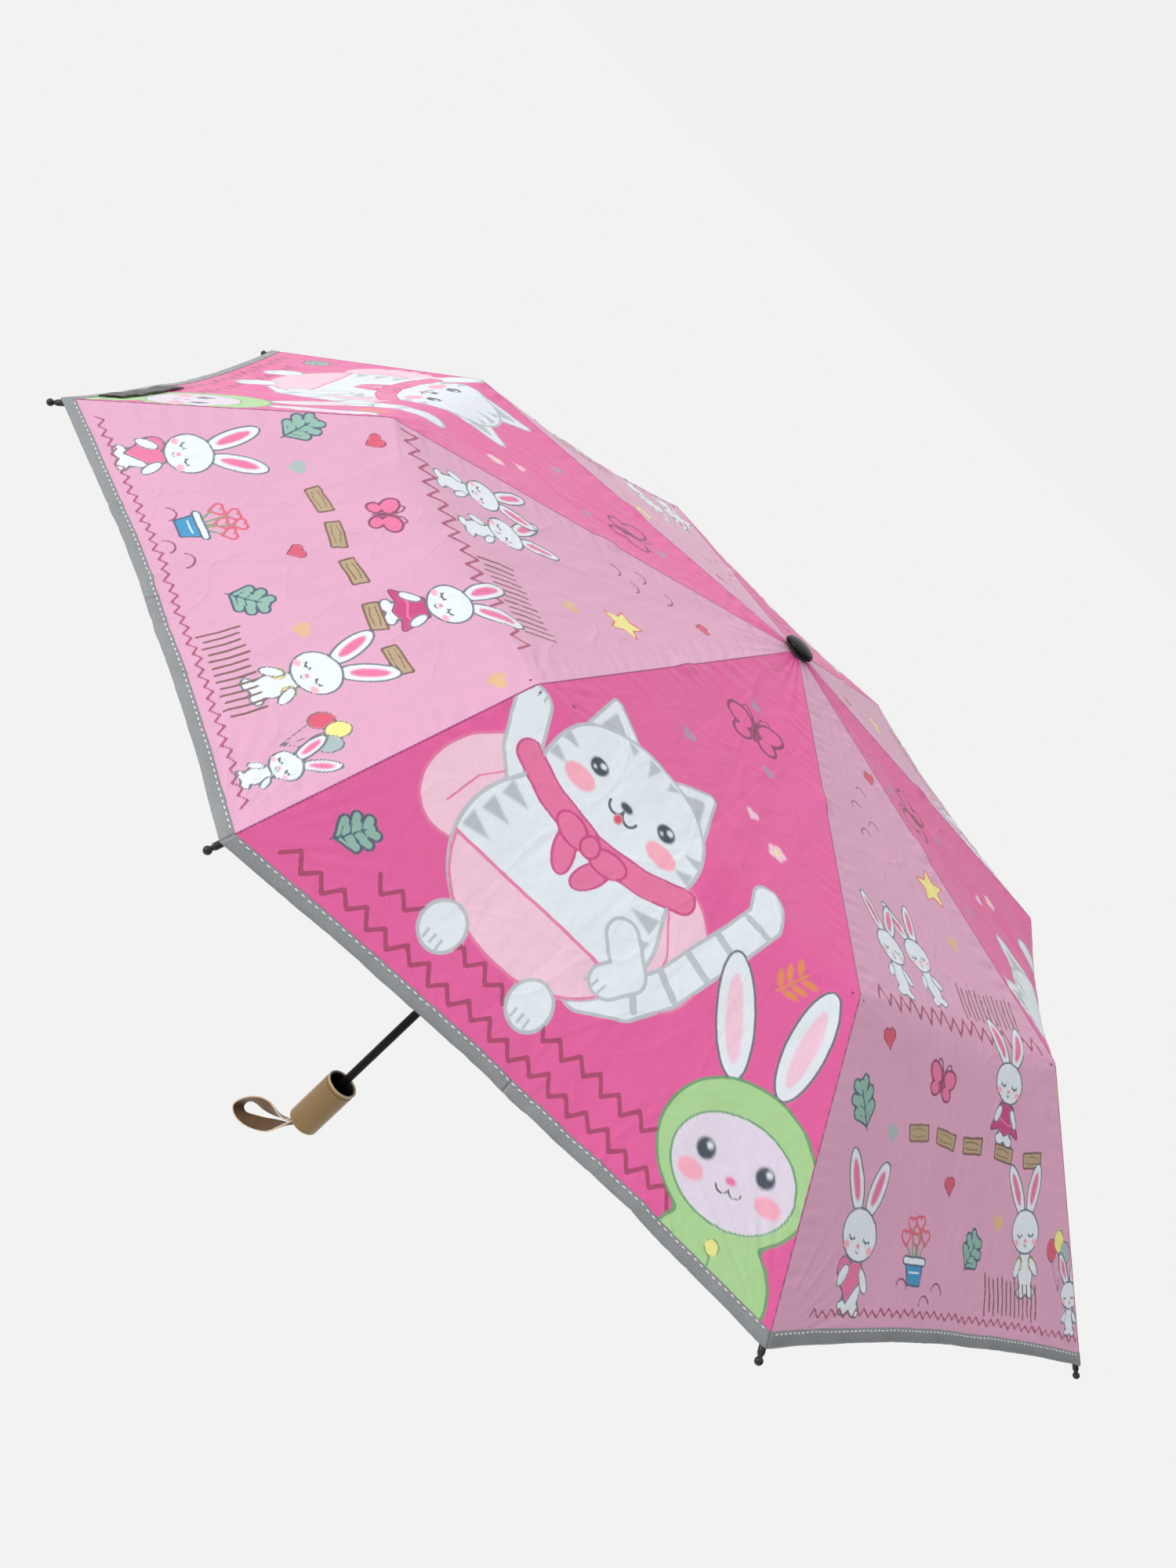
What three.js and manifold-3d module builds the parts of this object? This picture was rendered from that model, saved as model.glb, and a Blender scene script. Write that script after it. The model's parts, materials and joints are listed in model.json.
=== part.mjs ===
// Children's three-fold umbrella, modelled open. Millimetres, +Z up, the shaft on the Z axis,
// and the origin at the centre of the handle's flat base.
// Every rib is drawn in its own line frame: x along the rib, z away from the shaft's side
// towards the canopy, y across the rib, with x = 0 on the crown's ring wire.
import * as THREE from 'three';
import { mergeVertices } from 'three/addons/utils/BufferGeometryUtils.js';
import Module from 'manifold-3d';

const wasm = await Module();
wasm.setup();

// ---- driving dimensions ----
const RIBS = 8;
const AIR = 0.3; // clearance between pieces that meet

// canopy and rib lines
const PIVOT_RADIUS = 8; // ring wires of the crown and of the runner
const CROWN_HEIGHT = 557; // rib pivots above the base
const INNER_SLOPE = THREE.MathUtils.degToRad(8.46); // below horizontal, crown to knee
const OUTER_SLOPE = THREE.MathUtils.degToRad(36.6); // below horizontal, knee to tip
const TOP_RIB = 155; // crown pivot to first joint
const MID_RIB = 164.5; // first joint to knee
const OUTER_RIB = 201; // knee to the hem
const KNEE = TOP_RIB + MID_RIB;
const HEM_DIP = 12; // how far the hem curves in between two tips
const SAG = 0.035; // sag of the cloth as a share of half the span between ribs
const CLOTH_LIFT = 4.3; // underside of the cloth above the rib line
const CLOTH_THICKNESS = 0.9;

// rib sections
const WALL = 0.6;
const TOP_WIDTH = 4;
const TOP_HEIGHT = 3;
const MID_WIDTH = 3.6;
const MID_HEIGHT = 2.8;
const MID_OFFSET = 0.1; // channel centre above the rib line
const EYE_WIDTH = 2; // flattened ends that sit in slots and forks
const PIN = 0.4;
const PIN_HOLE = 0.65;
const JOINT_RISE = 2.8; // first joint's pin above the rib line
const KNEE_DROP = 0.3; // knee pin below the rib line
const ROD = 1; // outer rib's rod radius
const STRETCHER_AT = 66; // stretcher rivet from the crown pivot
const STRETCHER_DROP = 0.6; // that rivet below the rib line
const STRETCHER = 86;
const STRETCHER_HALF = 1.2;

// shaft: three tubes that slide in each other
const INNER_TUBE = { outer: 3.5, inner: 2.9, bottom: 18, top: 227 };
const MIDDLE_TUBE = { outer: 4.25, inner: 3.75, bottom: 200, top: 385 };
const OUTER_TUBE = { outer: 5, inner: 4.5, bottom: 358, top: 566 };
const FERRULE = { outer: 5.9, inner: 4.5, drop: 3, height: 2.6 };

// crown, cap and runner
const CROWN = { outer: 10, inner: 5.3, below: 2.2, above: 2, slotDepth: 6.2, groove: 0.8, wire: 0.45 };
const CAP = { radius: 12, bottom: 563.4, height: 7.2, teeth: 24 };
const RUNNER = { ring: 9.6, sleeve: 6.2, collar: 8.6, bore: 5.3, collarTop: -22, bottom: -43 };
const BUTTON = { width: 4, height: 8.4, pocketFloor: 6.2, inner: 8, face: 10.2, at: -33 };

// handle and strap
const HANDLE = { radius: 13.6, length: 52, cup: 12.2, cupDepth: 24, rim: 0.9, bevel: 1.6 };
const LINER = { outer: 11.9, inner: 11.1, floor: 1, top: 51.2 };
const STRAP = { width: 12, thickness: 1.5, slotAt: 6, slotDepth: 9, slotGap: 4.4, azimuth: -62.2 };

const STEP = (2 * Math.PI) / RIBS;

// ---- materials ----
const finish = (color, roughness, metalness) => new THREE.MeshStandardMaterial({ color, roughness, metalness });
const MATERIALS = {
  tan: finish(0x9a744c, 0.45, 0),
  blackPlastic: finish(0x15151a, 0.35, 0),
  greyPlastic: finish(0x3a3b40, 0.5, 0),
  blackTube: finish(0x1b1c20, 0.3, 0.7),
  steel: finish(0x8d9096, 0.35, 0.9),
  aluminium: finish(0xb4b7bb, 0.4, 0.9),
  fibreglass: finish(0x202126, 0.45, 0),
  hotPink: finish(0xd95a96, 0.8, 0),
  lightPink: finish(0xe3b9d0, 0.8, 0),
  blackCloth: finish(0x1c1b20, 0.9, 0),
  leather: finish(0x6d4930, 0.75, 0),
};

// ---- solids ----
const X = new THREE.Vector3(1, 0, 0);
const Y = new THREE.Vector3(0, 1, 0);
const Z = new THREE.Vector3(0, 0, 1);
const ALONG_X = new THREE.Matrix4().makeBasis(Y, Z, X); // outline in y, z; drawn out along x
const UPRIGHT = new THREE.Matrix4().makeBasis(X, Z, Y.clone().negate()); // outline in x, z; along -y

function toManifold(geometry) {
  const bare = geometry.clone();
  bare.deleteAttribute('normal');
  bare.deleteAttribute('uv');
  const merged = mergeVertices(bare, 1e-4);
  const mesh = new wasm.Mesh({
    numProp: 3,
    vertProperties: new Float32Array(merged.attributes.position.array),
    triVerts: new Uint32Array(merged.index.array),
  });
  return new wasm.Manifold(mesh);
}

function toGeometry(manifold) {
  const mesh = manifold.getMesh();
  const geometry = new THREE.BufferGeometry();
  geometry.setAttribute('position', new THREE.BufferAttribute(mesh.vertProperties, 3));
  geometry.setIndex(new THREE.BufferAttribute(mesh.triVerts, 1));
  geometry.computeVertexNormals();
  return geometry;
}

function join(...geometries) {
  return toGeometry(geometries.map(toManifold).reduce((body, next) => body.add(next)));
}

function cut(geometry, ...tools) {
  return toGeometry(tools.map(toManifold).reduce((body, tool) => body.subtract(tool), toManifold(geometry)));
}

function block(x0, x1, width, z0, z1) {
  const box = new THREE.BoxGeometry(x1 - x0, width, z1 - z0);
  return box.translate((x0 + x1) / 2, 0, (z0 + z1) / 2);
}

// a flat plate with an outline in x and z, centred on y = 0
function plate(shape, width, curveSegments = 8) {
  const geometry = new THREE.ExtrudeGeometry(shape, { depth: width, bevelEnabled: false, curveSegments });
  return geometry.applyMatrix4(UPRIGHT).translate(0, width / 2, 0);
}

function crossPin(x, z, radius, width, sides = 10) {
  return new THREE.CylinderGeometry(radius, radius, width, sides).translate(x, 0, z);
}

function outlineShape(points) {
  return new THREE.Shape(points.map(([x, z]) => new THREE.Vector2(x, z)));
}

// a U-shaped channel, open underneath, along x
function channel(x0, x1, width, height, centre) {
  const half = width / 2;
  const top = centre + height / 2;
  const bottom = centre - height / 2;
  const section = outlineShape([
    [-half, bottom], [-half + WALL, bottom], [-half + WALL, top - WALL], [half - WALL, top - WALL],
    [half - WALL, bottom], [half, bottom], [half, top], [-half, top],
  ]);
  const geometry = new THREE.ExtrudeGeometry(section, { depth: x1 - x0, bevelEnabled: false });
  return geometry.applyMatrix4(ALONG_X).translate(x0, 0, 0);
}

// a solid of revolution about z from [radius, height] points that close on themselves or on the axis
function turned(profile, segments) {
  const points = profile.map(([r, z]) => new THREE.Vector2(r, z));
  return new THREE.LatheGeometry(points, segments).rotateX(Math.PI / 2);
}

function ringProfile(inner, outer, bottom, top) {
  return [[inner, bottom], [outer, bottom], [outer, top], [inner, top], [inner, bottom]];
}

function tube({ outer, inner, bottom, top }, segments = 24) {
  return turned(ringProfile(inner, outer, bottom, top), segments);
}

// ---- ribs ----
function topRib() {
  const half = TOP_HEIGHT / 2;
  const channelStart = 4;
  const channelEnd = TOP_RIB - 8;
  const tongue = block(0, channelStart + 2, EYE_WIDTH, -half, half);
  const root = block(channelStart, channelStart + 4, TOP_WIDTH, -half, half);
  const ear = new THREE.Shape();
  ear.moveTo(channelEnd - 1, -half);
  ear.lineTo(TOP_RIB - 3, -half);
  ear.lineTo(TOP_RIB + 0.85, JOINT_RISE);
  ear.absarc(TOP_RIB, JOINT_RISE, 0.85, 0, Math.PI);
  ear.lineTo(TOP_RIB - 2.5, half);
  ear.lineTo(channelEnd - 1, half);
  const earOffset = (TOP_WIDTH - WALL) / 2;
  const body = join(
    channel(channelStart, channelEnd, TOP_WIDTH, TOP_HEIGHT, 0),
    crossPin(0, 0, half, EYE_WIDTH, 10),
    tongue,
    root,
    plate(ear, WALL, 4).translate(0, earOffset, 0),
    plate(ear, WALL, 4).translate(0, -earOffset, 0),
    crossPin(TOP_RIB, JOINT_RISE, PIN, TOP_WIDTH - WALL, 6),
    crossPin(STRETCHER_AT, -STRETCHER_DROP, PIN, TOP_WIDTH - WALL, 6),
  );
  return cut(body, crossPin(0, 0, CROWN.wire + AIR, TOP_WIDTH, 6));
}

function midRib() {
  const start = TOP_RIB + 4;
  const bottom = MID_OFFSET - MID_HEIGHT / 2;
  const top = MID_OFFSET + MID_HEIGHT / 2;
  const eye = new THREE.Shape();
  eye.moveTo(start + 4, top);
  eye.lineTo(start + 1, top);
  eye.lineTo(TOP_RIB + 1.1, JOINT_RISE);
  eye.absarc(TOP_RIB, JOINT_RISE, 1.1, 0, Math.PI);
  eye.lineTo(start - 0.5, bottom);
  eye.lineTo(start + 4, bottom);
  const body = join(
    channel(start, KNEE + 1.5, MID_WIDTH, MID_HEIGHT, MID_OFFSET),
    plate(eye, EYE_WIDTH + 0.2, 5),
    block(start, start + 4, MID_WIDTH, bottom, top),
    crossPin(KNEE, -KNEE_DROP, PIN, MID_WIDTH - WALL, 6),
  );
  return cut(body, crossPin(TOP_RIB, JOINT_RISE, PIN_HOLE, MID_WIDTH, 6));
}

// drawn from its own knee pin, x along the rod; the tip is the ball that the hem is sewn to
function outerRib() {
  const rod = new THREE.CylinderGeometry(ROD, ROD, OUTER_RIB, 6).rotateZ(-Math.PI / 2);
  rod.translate(OUTER_RIB / 2, 0, 0);
  const tipProfile = [
    [0, OUTER_RIB - 3], [1.6, OUTER_RIB - 3], [1.9, OUTER_RIB + 1], [1.2, OUTER_RIB + 2.2],
    [2.1, OUTER_RIB + 4.2], [1.9, OUTER_RIB + 6], [0, OUTER_RIB + 7],
  ];
  const tip = turned(tipProfile, 8).rotateY(Math.PI / 2);
  const body = join(rod, crossPin(0, 0, ROD, EYE_WIDTH, 8), tip);
  return cut(body, crossPin(0, 0, PIN_HOLE, 2 * EYE_WIDTH, 6));
}

// drawn from its rivet on the top rib, x towards the runner
function stretcher() {
  const bar = new THREE.Shape();
  bar.moveTo(0, -STRETCHER_HALF);
  bar.lineTo(STRETCHER, -STRETCHER_HALF);
  bar.absarc(STRETCHER, 0, STRETCHER_HALF, -Math.PI / 2, Math.PI / 2);
  bar.lineTo(0, STRETCHER_HALF);
  bar.absarc(0, 0, STRETCHER_HALF, Math.PI / 2, (3 * Math.PI) / 2);
  for (const x of [0, STRETCHER]) {
    const hole = new THREE.Path();
    hole.absarc(x, 0, PIN_HOLE, 0, 2 * Math.PI, true);
    bar.holes.push(hole);
  }
  return plate(bar, EYE_WIDTH, 4);
}

// ---- canopy ----
// a point of the cloth over a rib: distance from the crown pivot, height above the rib line
function ribLine(distance, lift) {
  const inner = Math.min(distance, KNEE);
  const outer = Math.max(distance - KNEE, 0);
  const slope = distance <= KNEE ? INNER_SLOPE : OUTER_SLOPE;
  const radius = PIVOT_RADIUS + inner * Math.cos(INNER_SLOPE) + outer * Math.cos(OUTER_SLOPE);
  const height = CROWN_HEIGHT - inner * Math.sin(INNER_SLOPE) - outer * Math.sin(OUTER_SLOPE);
  return new THREE.Vector2(radius + lift * Math.sin(slope), height + lift * Math.cos(slope));
}

// across runs from -1 on one rib to 1 on the next; the panel is centred on azimuth 0
function clothPoint(across, distance, lift) {
  const hem = KNEE + OUTER_RIB;
  const dip = HEM_DIP * (1 - across * across);
  const run = distance <= KNEE ? distance : KNEE + ((distance - KNEE) * (hem - dip - KNEE)) / (hem - KNEE);
  const rib = ribLine(run, lift);
  const seam = 0.3;
  const halfSpan = rib.x * Math.sin(STEP / 2);
  const sag = SAG * halfSpan * (1 - across * across);
  return new THREE.Vector3(rib.x * Math.cos(STEP / 2), across * (halfSpan - seam), rib.y - sag);
}

// a closed sheet between two lifts over a grid of cloth points
function sheet(acrossValues, distances, underside, thickness) {
  const columns = acrossValues.length;
  const rows = distances.length;
  const positions = [];
  for (const lift of [underside, underside + thickness]) {
    for (const distance of distances) {
      for (const across of acrossValues) positions.push(...clothPoint(across, distance, lift).toArray());
    }
  }
  const indices = [];
  const at = (side, row, column) => side * rows * columns + row * columns + column;
  const quad = (a, b, c, d) => indices.push(a, b, c, a, c, d);
  for (let row = 0; row + 1 < rows; row += 1) {
    for (let column = 0; column + 1 < columns; column += 1) {
      quad(at(1, row, column), at(1, row + 1, column), at(1, row + 1, column + 1), at(1, row, column + 1));
      quad(at(0, row, column), at(0, row, column + 1), at(0, row + 1, column + 1), at(0, row + 1, column));
    }
    quad(at(0, row, 0), at(0, row + 1, 0), at(1, row + 1, 0), at(1, row, 0));
    const end = columns - 1;
    quad(at(0, row, end), at(1, row, end), at(1, row + 1, end), at(0, row + 1, end));
  }
  for (let column = 0; column + 1 < columns; column += 1) {
    const last = rows - 1;
    quad(at(0, 0, column), at(1, 0, column), at(1, 0, column + 1), at(0, 0, column + 1));
    quad(at(0, last, column), at(0, last, column + 1), at(1, last, column + 1), at(1, last, column));
  }
  const geometry = new THREE.BufferGeometry();
  geometry.setAttribute('position', new THREE.Float32BufferAttribute(positions, 3));
  geometry.setIndex(indices);
  geometry.computeVertexNormals();
  return geometry;
}

const evenly = (from, to, parts) => Array.from({ length: parts + 1 }, (_, i) => from + ((to - from) * i) / parts);

function gore() {
  const inner = evenly(-0.5, KNEE - 4, 4);
  const outer = evenly(KNEE + 4, KNEE + OUTER_RIB, 3);
  return sheet(evenly(-1, 1, 6), [...inner, ...outer], CLOTH_LIFT, CLOTH_THICKNESS);
}

// the band that wraps the folded umbrella lies along the hem, next to a rib
function closureBand() {
  const hem = KNEE + OUTER_RIB;
  const lift = CLOTH_LIFT + CLOTH_THICKNESS + 2 * AIR;
  return sheet(evenly(0.37, 0.86, 3), evenly(hem - 26, hem - 8, 2), lift, CLOTH_THICKNESS);
}

// ---- crown and cap ----
function slots(height, z) {
  const width = EYE_WIDTH + 2 * AIR;
  return Array.from({ length: RIBS }, (_, i) => block(CROWN.slotDepth, 20, width, z - height, z + height)
    .rotateZ(i * STEP));
}

function crown() {
  const body = turned(ringProfile(CROWN.inner, CROWN.outer, -CROWN.below, CROWN.above), 32);
  const groove = new THREE.TorusGeometry(PIVOT_RADIUS, CROWN.groove, 5, 32);
  return cut(body, groove, ...slots(6, 0));
}

function crownWire() {
  return new THREE.TorusGeometry(PIVOT_RADIUS, CROWN.wire, 5, 32);
}

// domed cap with a toothed lower edge and a recess for the shaft's end
function topCap() {
  const { radius, bottom, height } = CAP;
  const recess = OUTER_TUBE.outer + AIR;
  const recessTop = OUTER_TUBE.top + AIR;
  const profile = [[recess, bottom], [radius - 1, bottom], [radius, bottom + 0.9], [radius, bottom + 2.2]];
  for (let i = 1; i <= 5; i += 1) {
    const angle = (i * Math.PI) / 10;
    profile.push([radius * Math.cos(angle), bottom + 2.2 + (height - 2.2) * Math.sin(angle)]);
  }
  profile[profile.length - 1][0] = 0;
  profile.push([0, recessTop], [recess, recessTop], [recess, bottom]);
  const notches = Array.from({ length: CAP.teeth }, (_, i) => {
    const notch = new THREE.CylinderGeometry(0.55, 0.55, 2.4, 4).rotateX(Math.PI / 2);
    return notch.translate(radius + 0.1, 0, bottom + 0.9).rotateZ((2 * Math.PI * i) / CAP.teeth);
  });
  return cut(turned(profile, 36), ...notches);
}

// ---- runner ----
function runner() {
  const { ring, sleeve, collar, bore, collarTop, bottom } = RUNNER;
  const profile = [
    [bore, bottom], [collar - 1, bottom], [collar, bottom + 1], [collar, bottom + 3], [collar - 0.8, bottom + 4],
    [collar - 0.8, collarTop - 3], [collar, collarTop - 2], [collar, collarTop], [sleeve, collarTop + 2],
    [sleeve, -CROWN.below], [ring, -CROWN.below], [ring, CROWN.below], [bore, CROWN.below], [bore, bottom],
  ];
  const pocket = block(
    BUTTON.pocketFloor, 20, BUTTON.width + 2 * AIR,
    BUTTON.at - BUTTON.height / 2 - AIR, BUTTON.at + BUTTON.height / 2 + AIR,
  );
  const slotHeight = CROWN.below + 1;
  return cut(turned(profile, 32), pocket.rotateZ(STEP / 2), ...slots(slotHeight, 0));
}

function runnerButton() {
  const { width, height, inner, face, at } = BUTTON;
  const shape = new THREE.Shape();
  const half = height / 2;
  shape.moveTo(inner, at - half);
  shape.lineTo(face - 0.9, at - half);
  shape.quadraticCurveTo(face, at - half, face, at - half + 1.6);
  shape.lineTo(face, at + half - 1.6);
  shape.quadraticCurveTo(face, at + half, face - 0.9, at + half);
  shape.lineTo(inner, at + half);
  return plate(shape, width, 5);
}

// ---- handle ----
function handleGrip() {
  const { radius, length, cup, cupDepth, rim, bevel } = HANDLE;
  const floor = length - cupDepth;
  const bore = INNER_TUBE.outer + AIR;
  const boreBottom = INNER_TUBE.bottom - AIR;
  const profile = [[0, 0], [radius - bevel, 0]];
  for (let i = 1; i <= 4; i += 1) {
    const angle = (i * Math.PI) / 8;
    profile.push([radius - bevel + bevel * Math.sin(angle), bevel - bevel * Math.cos(angle)]);
  }
  profile.push([radius, length - 4], [radius - 0.5, length - 3.4], [radius - 0.5, length - 2.6]);
  profile.push([radius, length - 2], [radius, length - rim], [radius - rim, length], [cup, length]);
  profile.push([cup, floor], [bore, floor], [bore, boreBottom], [0, boreBottom]);
  return cut(turned(profile, 32), strapSlot());
}

function handleLiner() {
  const { outer, inner, floor, top } = LINER;
  const bottom = HANDLE.length - HANDLE.cupDepth + AIR;
  const bore = INNER_TUBE.outer + AIR;
  const profile = [
    [bore, bottom], [outer, bottom], [outer, top], [inner, top], [inner, bottom + floor],
    [bore + 1.2, bottom + floor], [bore + 1.2, bottom + floor + 4], [bore, bottom + floor + 4], [bore, bottom],
  ];
  return turned(profile, 24);
}

// ---- wrist strap: a flat band bent into a loop in the upright plane through the shaft ----
const strapTurn = THREE.MathUtils.degToRad(STRAP.azimuth);

function strapSlot() {
  const width = STRAP.width + 2 * AIR;
  const half = STRAP.slotGap / 2;
  return block(STRAP.slotAt - half, STRAP.slotAt + half, width, -5, STRAP.slotDepth).rotateZ(strapTurn);
}

// middle line of the band: out of the slot, round the loop and back, in [outwards, height]
const STRAP_ROUTE = [
  [7.1, 7], [7.1, 0], [7.2, -5], [9.5, -10.5], [15, -15], [23, -20], [33.5, -26], [44, -33.5], [52.5, -42],
  [56.5, -50.5], [55, -56], [48.5, -56.5], [40, -52], [30.5, -44], [21.5, -34.5], [13.5, -23.5], [7.5, -13.5],
  [4.9, -5], [4.9, 0], [4.9, 7],
];

function wristStrap() {
  const curve = new THREE.SplineCurve(STRAP_ROUTE.map(([x, z]) => new THREE.Vector2(x, z)));
  const count = 48;
  const outerSide = [];
  const innerSide = [];
  for (let i = 0; i <= count; i += 1) {
    const point = curve.getPoint(i / count);
    const tangent = curve.getTangent(i / count);
    const normal = new THREE.Vector2(-tangent.y, tangent.x).multiplyScalar(STRAP.thickness / 2);
    outerSide.push(point.clone().add(normal));
    innerSide.push(point.clone().sub(normal));
  }
  const outline = new THREE.Shape([...innerSide, ...outerSide.reverse()]);
  return plate(outline, STRAP.width, 1).rotateZ(strapTurn);
}

// ---- assembly ----
const umbrella = new THREE.Group();

function place(name, geometry, material, parent = umbrella) {
  const mesh = new THREE.Mesh(geometry, material);
  mesh.name = name;
  parent.add(mesh);
  return mesh;
}

function frameAt(parent, x, z, pitch) {
  const group = new THREE.Group();
  group.position.set(x, 0, z);
  group.rotation.y = pitch;
  parent.add(group);
  return group;
}

// where the stretcher's rivet is, and where the runner's ring wire then has to be
const rivet = {
  x: PIVOT_RADIUS + STRETCHER_AT * Math.cos(INNER_SLOPE) - STRETCHER_DROP * Math.sin(INNER_SLOPE),
  z: CROWN_HEIGHT - STRETCHER_AT * Math.sin(INNER_SLOPE) - STRETCHER_DROP * Math.cos(INNER_SLOPE),
};
const stretcherFall = Math.sqrt(STRETCHER ** 2 - (rivet.x - PIVOT_RADIUS) ** 2);
const RUNNER_HEIGHT = rivet.z - stretcherFall;
const stretcherPitch = Math.PI - Math.atan2(stretcherFall, rivet.x - PIVOT_RADIUS);

place('handle_grip', handleGrip(), MATERIALS.tan);
place('handle_cup_liner', handleLiner(), MATERIALS.blackPlastic);
place('wrist_strap', wristStrap(), MATERIALS.leather);
place('shaft_inner_tube', tube(INNER_TUBE), MATERIALS.blackTube);
place('shaft_middle_tube', tube(MIDDLE_TUBE), MATERIALS.blackTube);
place('shaft_outer_tube', tube(OUTER_TUBE), MATERIALS.blackTube);

const ferruleBottom = OUTER_TUBE.bottom - FERRULE.drop;
place('shaft_outer_ferrule', tube({ ...FERRULE, bottom: ferruleBottom, top: ferruleBottom + FERRULE.height }),
  MATERIALS.blackPlastic);

place('crown', crown(), MATERIALS.blackPlastic).position.z = CROWN_HEIGHT;
place('crown_ring_wire', crownWire(), MATERIALS.steel).position.z = CROWN_HEIGHT;
place('top_cap', topCap(), MATERIALS.blackPlastic);
place('runner', runner(), MATERIALS.blackPlastic).position.z = RUNNER_HEIGHT;
const button = place('runner_button', runnerButton(), MATERIALS.greyPlastic);
button.position.z = RUNNER_HEIGHT;
button.rotation.z = STEP / 2;

const ribShapes = { top: topRib(), mid: midRib(), outer: outerRib(), stretcher: stretcher() };
const goreShape = gore();
for (let i = 0; i < RIBS; i += 1) {
  const number = i + 1;
  const plane = new THREE.Group();
  plane.rotation.z = i * STEP;
  umbrella.add(plane);
  const line = frameAt(plane, PIVOT_RADIUS, CROWN_HEIGHT, INNER_SLOPE);
  place(`top_rib_${number}`, ribShapes.top, MATERIALS.steel, line);
  place(`middle_rib_${number}`, ribShapes.mid, MATERIALS.aluminium, line);
  const knee = frameAt(line, KNEE, -KNEE_DROP, OUTER_SLOPE - INNER_SLOPE);
  place(`outer_rib_${number}`, ribShapes.outer, MATERIALS.fibreglass, knee);
  place(`stretcher_${number}`, ribShapes.stretcher, MATERIALS.steel, frameAt(plane, rivet.x, rivet.z, stretcherPitch));
  const panel = place(`canopy_gore_${number}`, goreShape, i % 2 ? MATERIALS.hotPink : MATERIALS.lightPink);
  panel.rotation.z = (i + 0.5) * STEP;
}
place('closure_band', closureBand(), MATERIALS.blackCloth).rotation.z = (RIBS - 0.5) * STEP;

export default umbrella;
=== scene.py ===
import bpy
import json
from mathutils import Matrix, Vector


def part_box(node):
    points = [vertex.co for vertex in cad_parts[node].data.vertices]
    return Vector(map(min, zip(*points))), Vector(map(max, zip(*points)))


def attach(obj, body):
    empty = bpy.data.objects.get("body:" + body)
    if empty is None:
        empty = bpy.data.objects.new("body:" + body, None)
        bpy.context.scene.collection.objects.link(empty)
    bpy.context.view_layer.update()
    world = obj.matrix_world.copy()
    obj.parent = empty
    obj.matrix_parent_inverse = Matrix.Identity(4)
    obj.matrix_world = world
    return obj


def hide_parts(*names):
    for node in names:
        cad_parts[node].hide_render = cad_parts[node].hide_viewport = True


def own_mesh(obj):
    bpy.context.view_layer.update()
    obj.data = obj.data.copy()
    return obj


bl_info = {
    "name": "Folding Children's Umbrella",
    "version": (1, 0, 0),
    "blender": (4, 5, 0),
    "location": "View3D > Sidebar > Umbrella",
    "description": "Dresses the packed umbrella in printed cloth, trim, metal and plastic",
    "category": "Object",
}

import json
from math import atan2, ceil, cos, hypot, pi, radians, sin, tan

import bmesh
import bpy
import numpy as np
from bpy.props import FloatProperty, FloatVectorProperty, IntProperty, PointerProperty
from bpy.types import Operator, Panel, PropertyGroup
from mathutils import Matrix, Vector

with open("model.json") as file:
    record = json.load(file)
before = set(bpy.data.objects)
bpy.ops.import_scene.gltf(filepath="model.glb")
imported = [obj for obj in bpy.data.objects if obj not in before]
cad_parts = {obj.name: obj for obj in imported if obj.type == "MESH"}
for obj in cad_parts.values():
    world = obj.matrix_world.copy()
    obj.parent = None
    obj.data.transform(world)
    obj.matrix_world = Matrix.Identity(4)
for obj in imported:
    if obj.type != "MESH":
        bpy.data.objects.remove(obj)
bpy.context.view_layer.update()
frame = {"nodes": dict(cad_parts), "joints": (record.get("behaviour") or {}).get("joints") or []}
JOINTS = {joint["name"]: joint for joint in frame["joints"]}

MM = 0.001
RIBS = 8
STEP = 2 * pi / RIBS
PIVOT = Vector(JOINTS["top_rib_fold_1"]["pos_m"]) / MM
FIRST_JOINT = Vector(JOINTS["middle_rib_fold_1"]["pos_m"]) / MM
KNEE_JOINT = Vector(JOINTS["outer_rib_fold_1"]["pos_m"]) / MM
SIDE_NAMES = {-1: "left", 1: "right"}
SEGMENTS = ("top", "middle", "outer")
# the cloth beside a knee rides on the outer rib too
RIB_OF = {"top": "top_rib", "middle": "middle_rib", "knee": "outer_rib", "outer": "outer_rib"}
# how far the cloth beside a knee gathers off square to its rib
GATHER_SLANT = radians(15)
# length down the middle of a flat-cut panel against the length along its ribs, above and below the knees
INNER_CUT, OUTER_CUT = 0.9256, 0.9516


def colour(text):
    """A linear colour with alpha from a hex colour."""
    parts = [int(text[i:i + 2], 16) / 255 for i in (0, 2, 4)]
    return tuple(c / 12.92 if c <= 0.04045 else ((c + 0.055) / 1.055) ** 2.4 for c in parts) + (1.0,)


def length(name, description, millimetres):
    """A length property, kept in metres."""
    return FloatProperty(name=name, description=description, default=millimetres * MM, unit="LENGTH",
                         precision=4)


def tint(name, description, text):
    """A colour property."""
    return FloatVectorProperty(name=name, description=description, default=colour(text), size=4,
                               subtype="COLOR", min=0, max=1)


def number(name, description, value):
    """A plain number property."""
    return FloatProperty(name=name, description=description, default=value)


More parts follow.
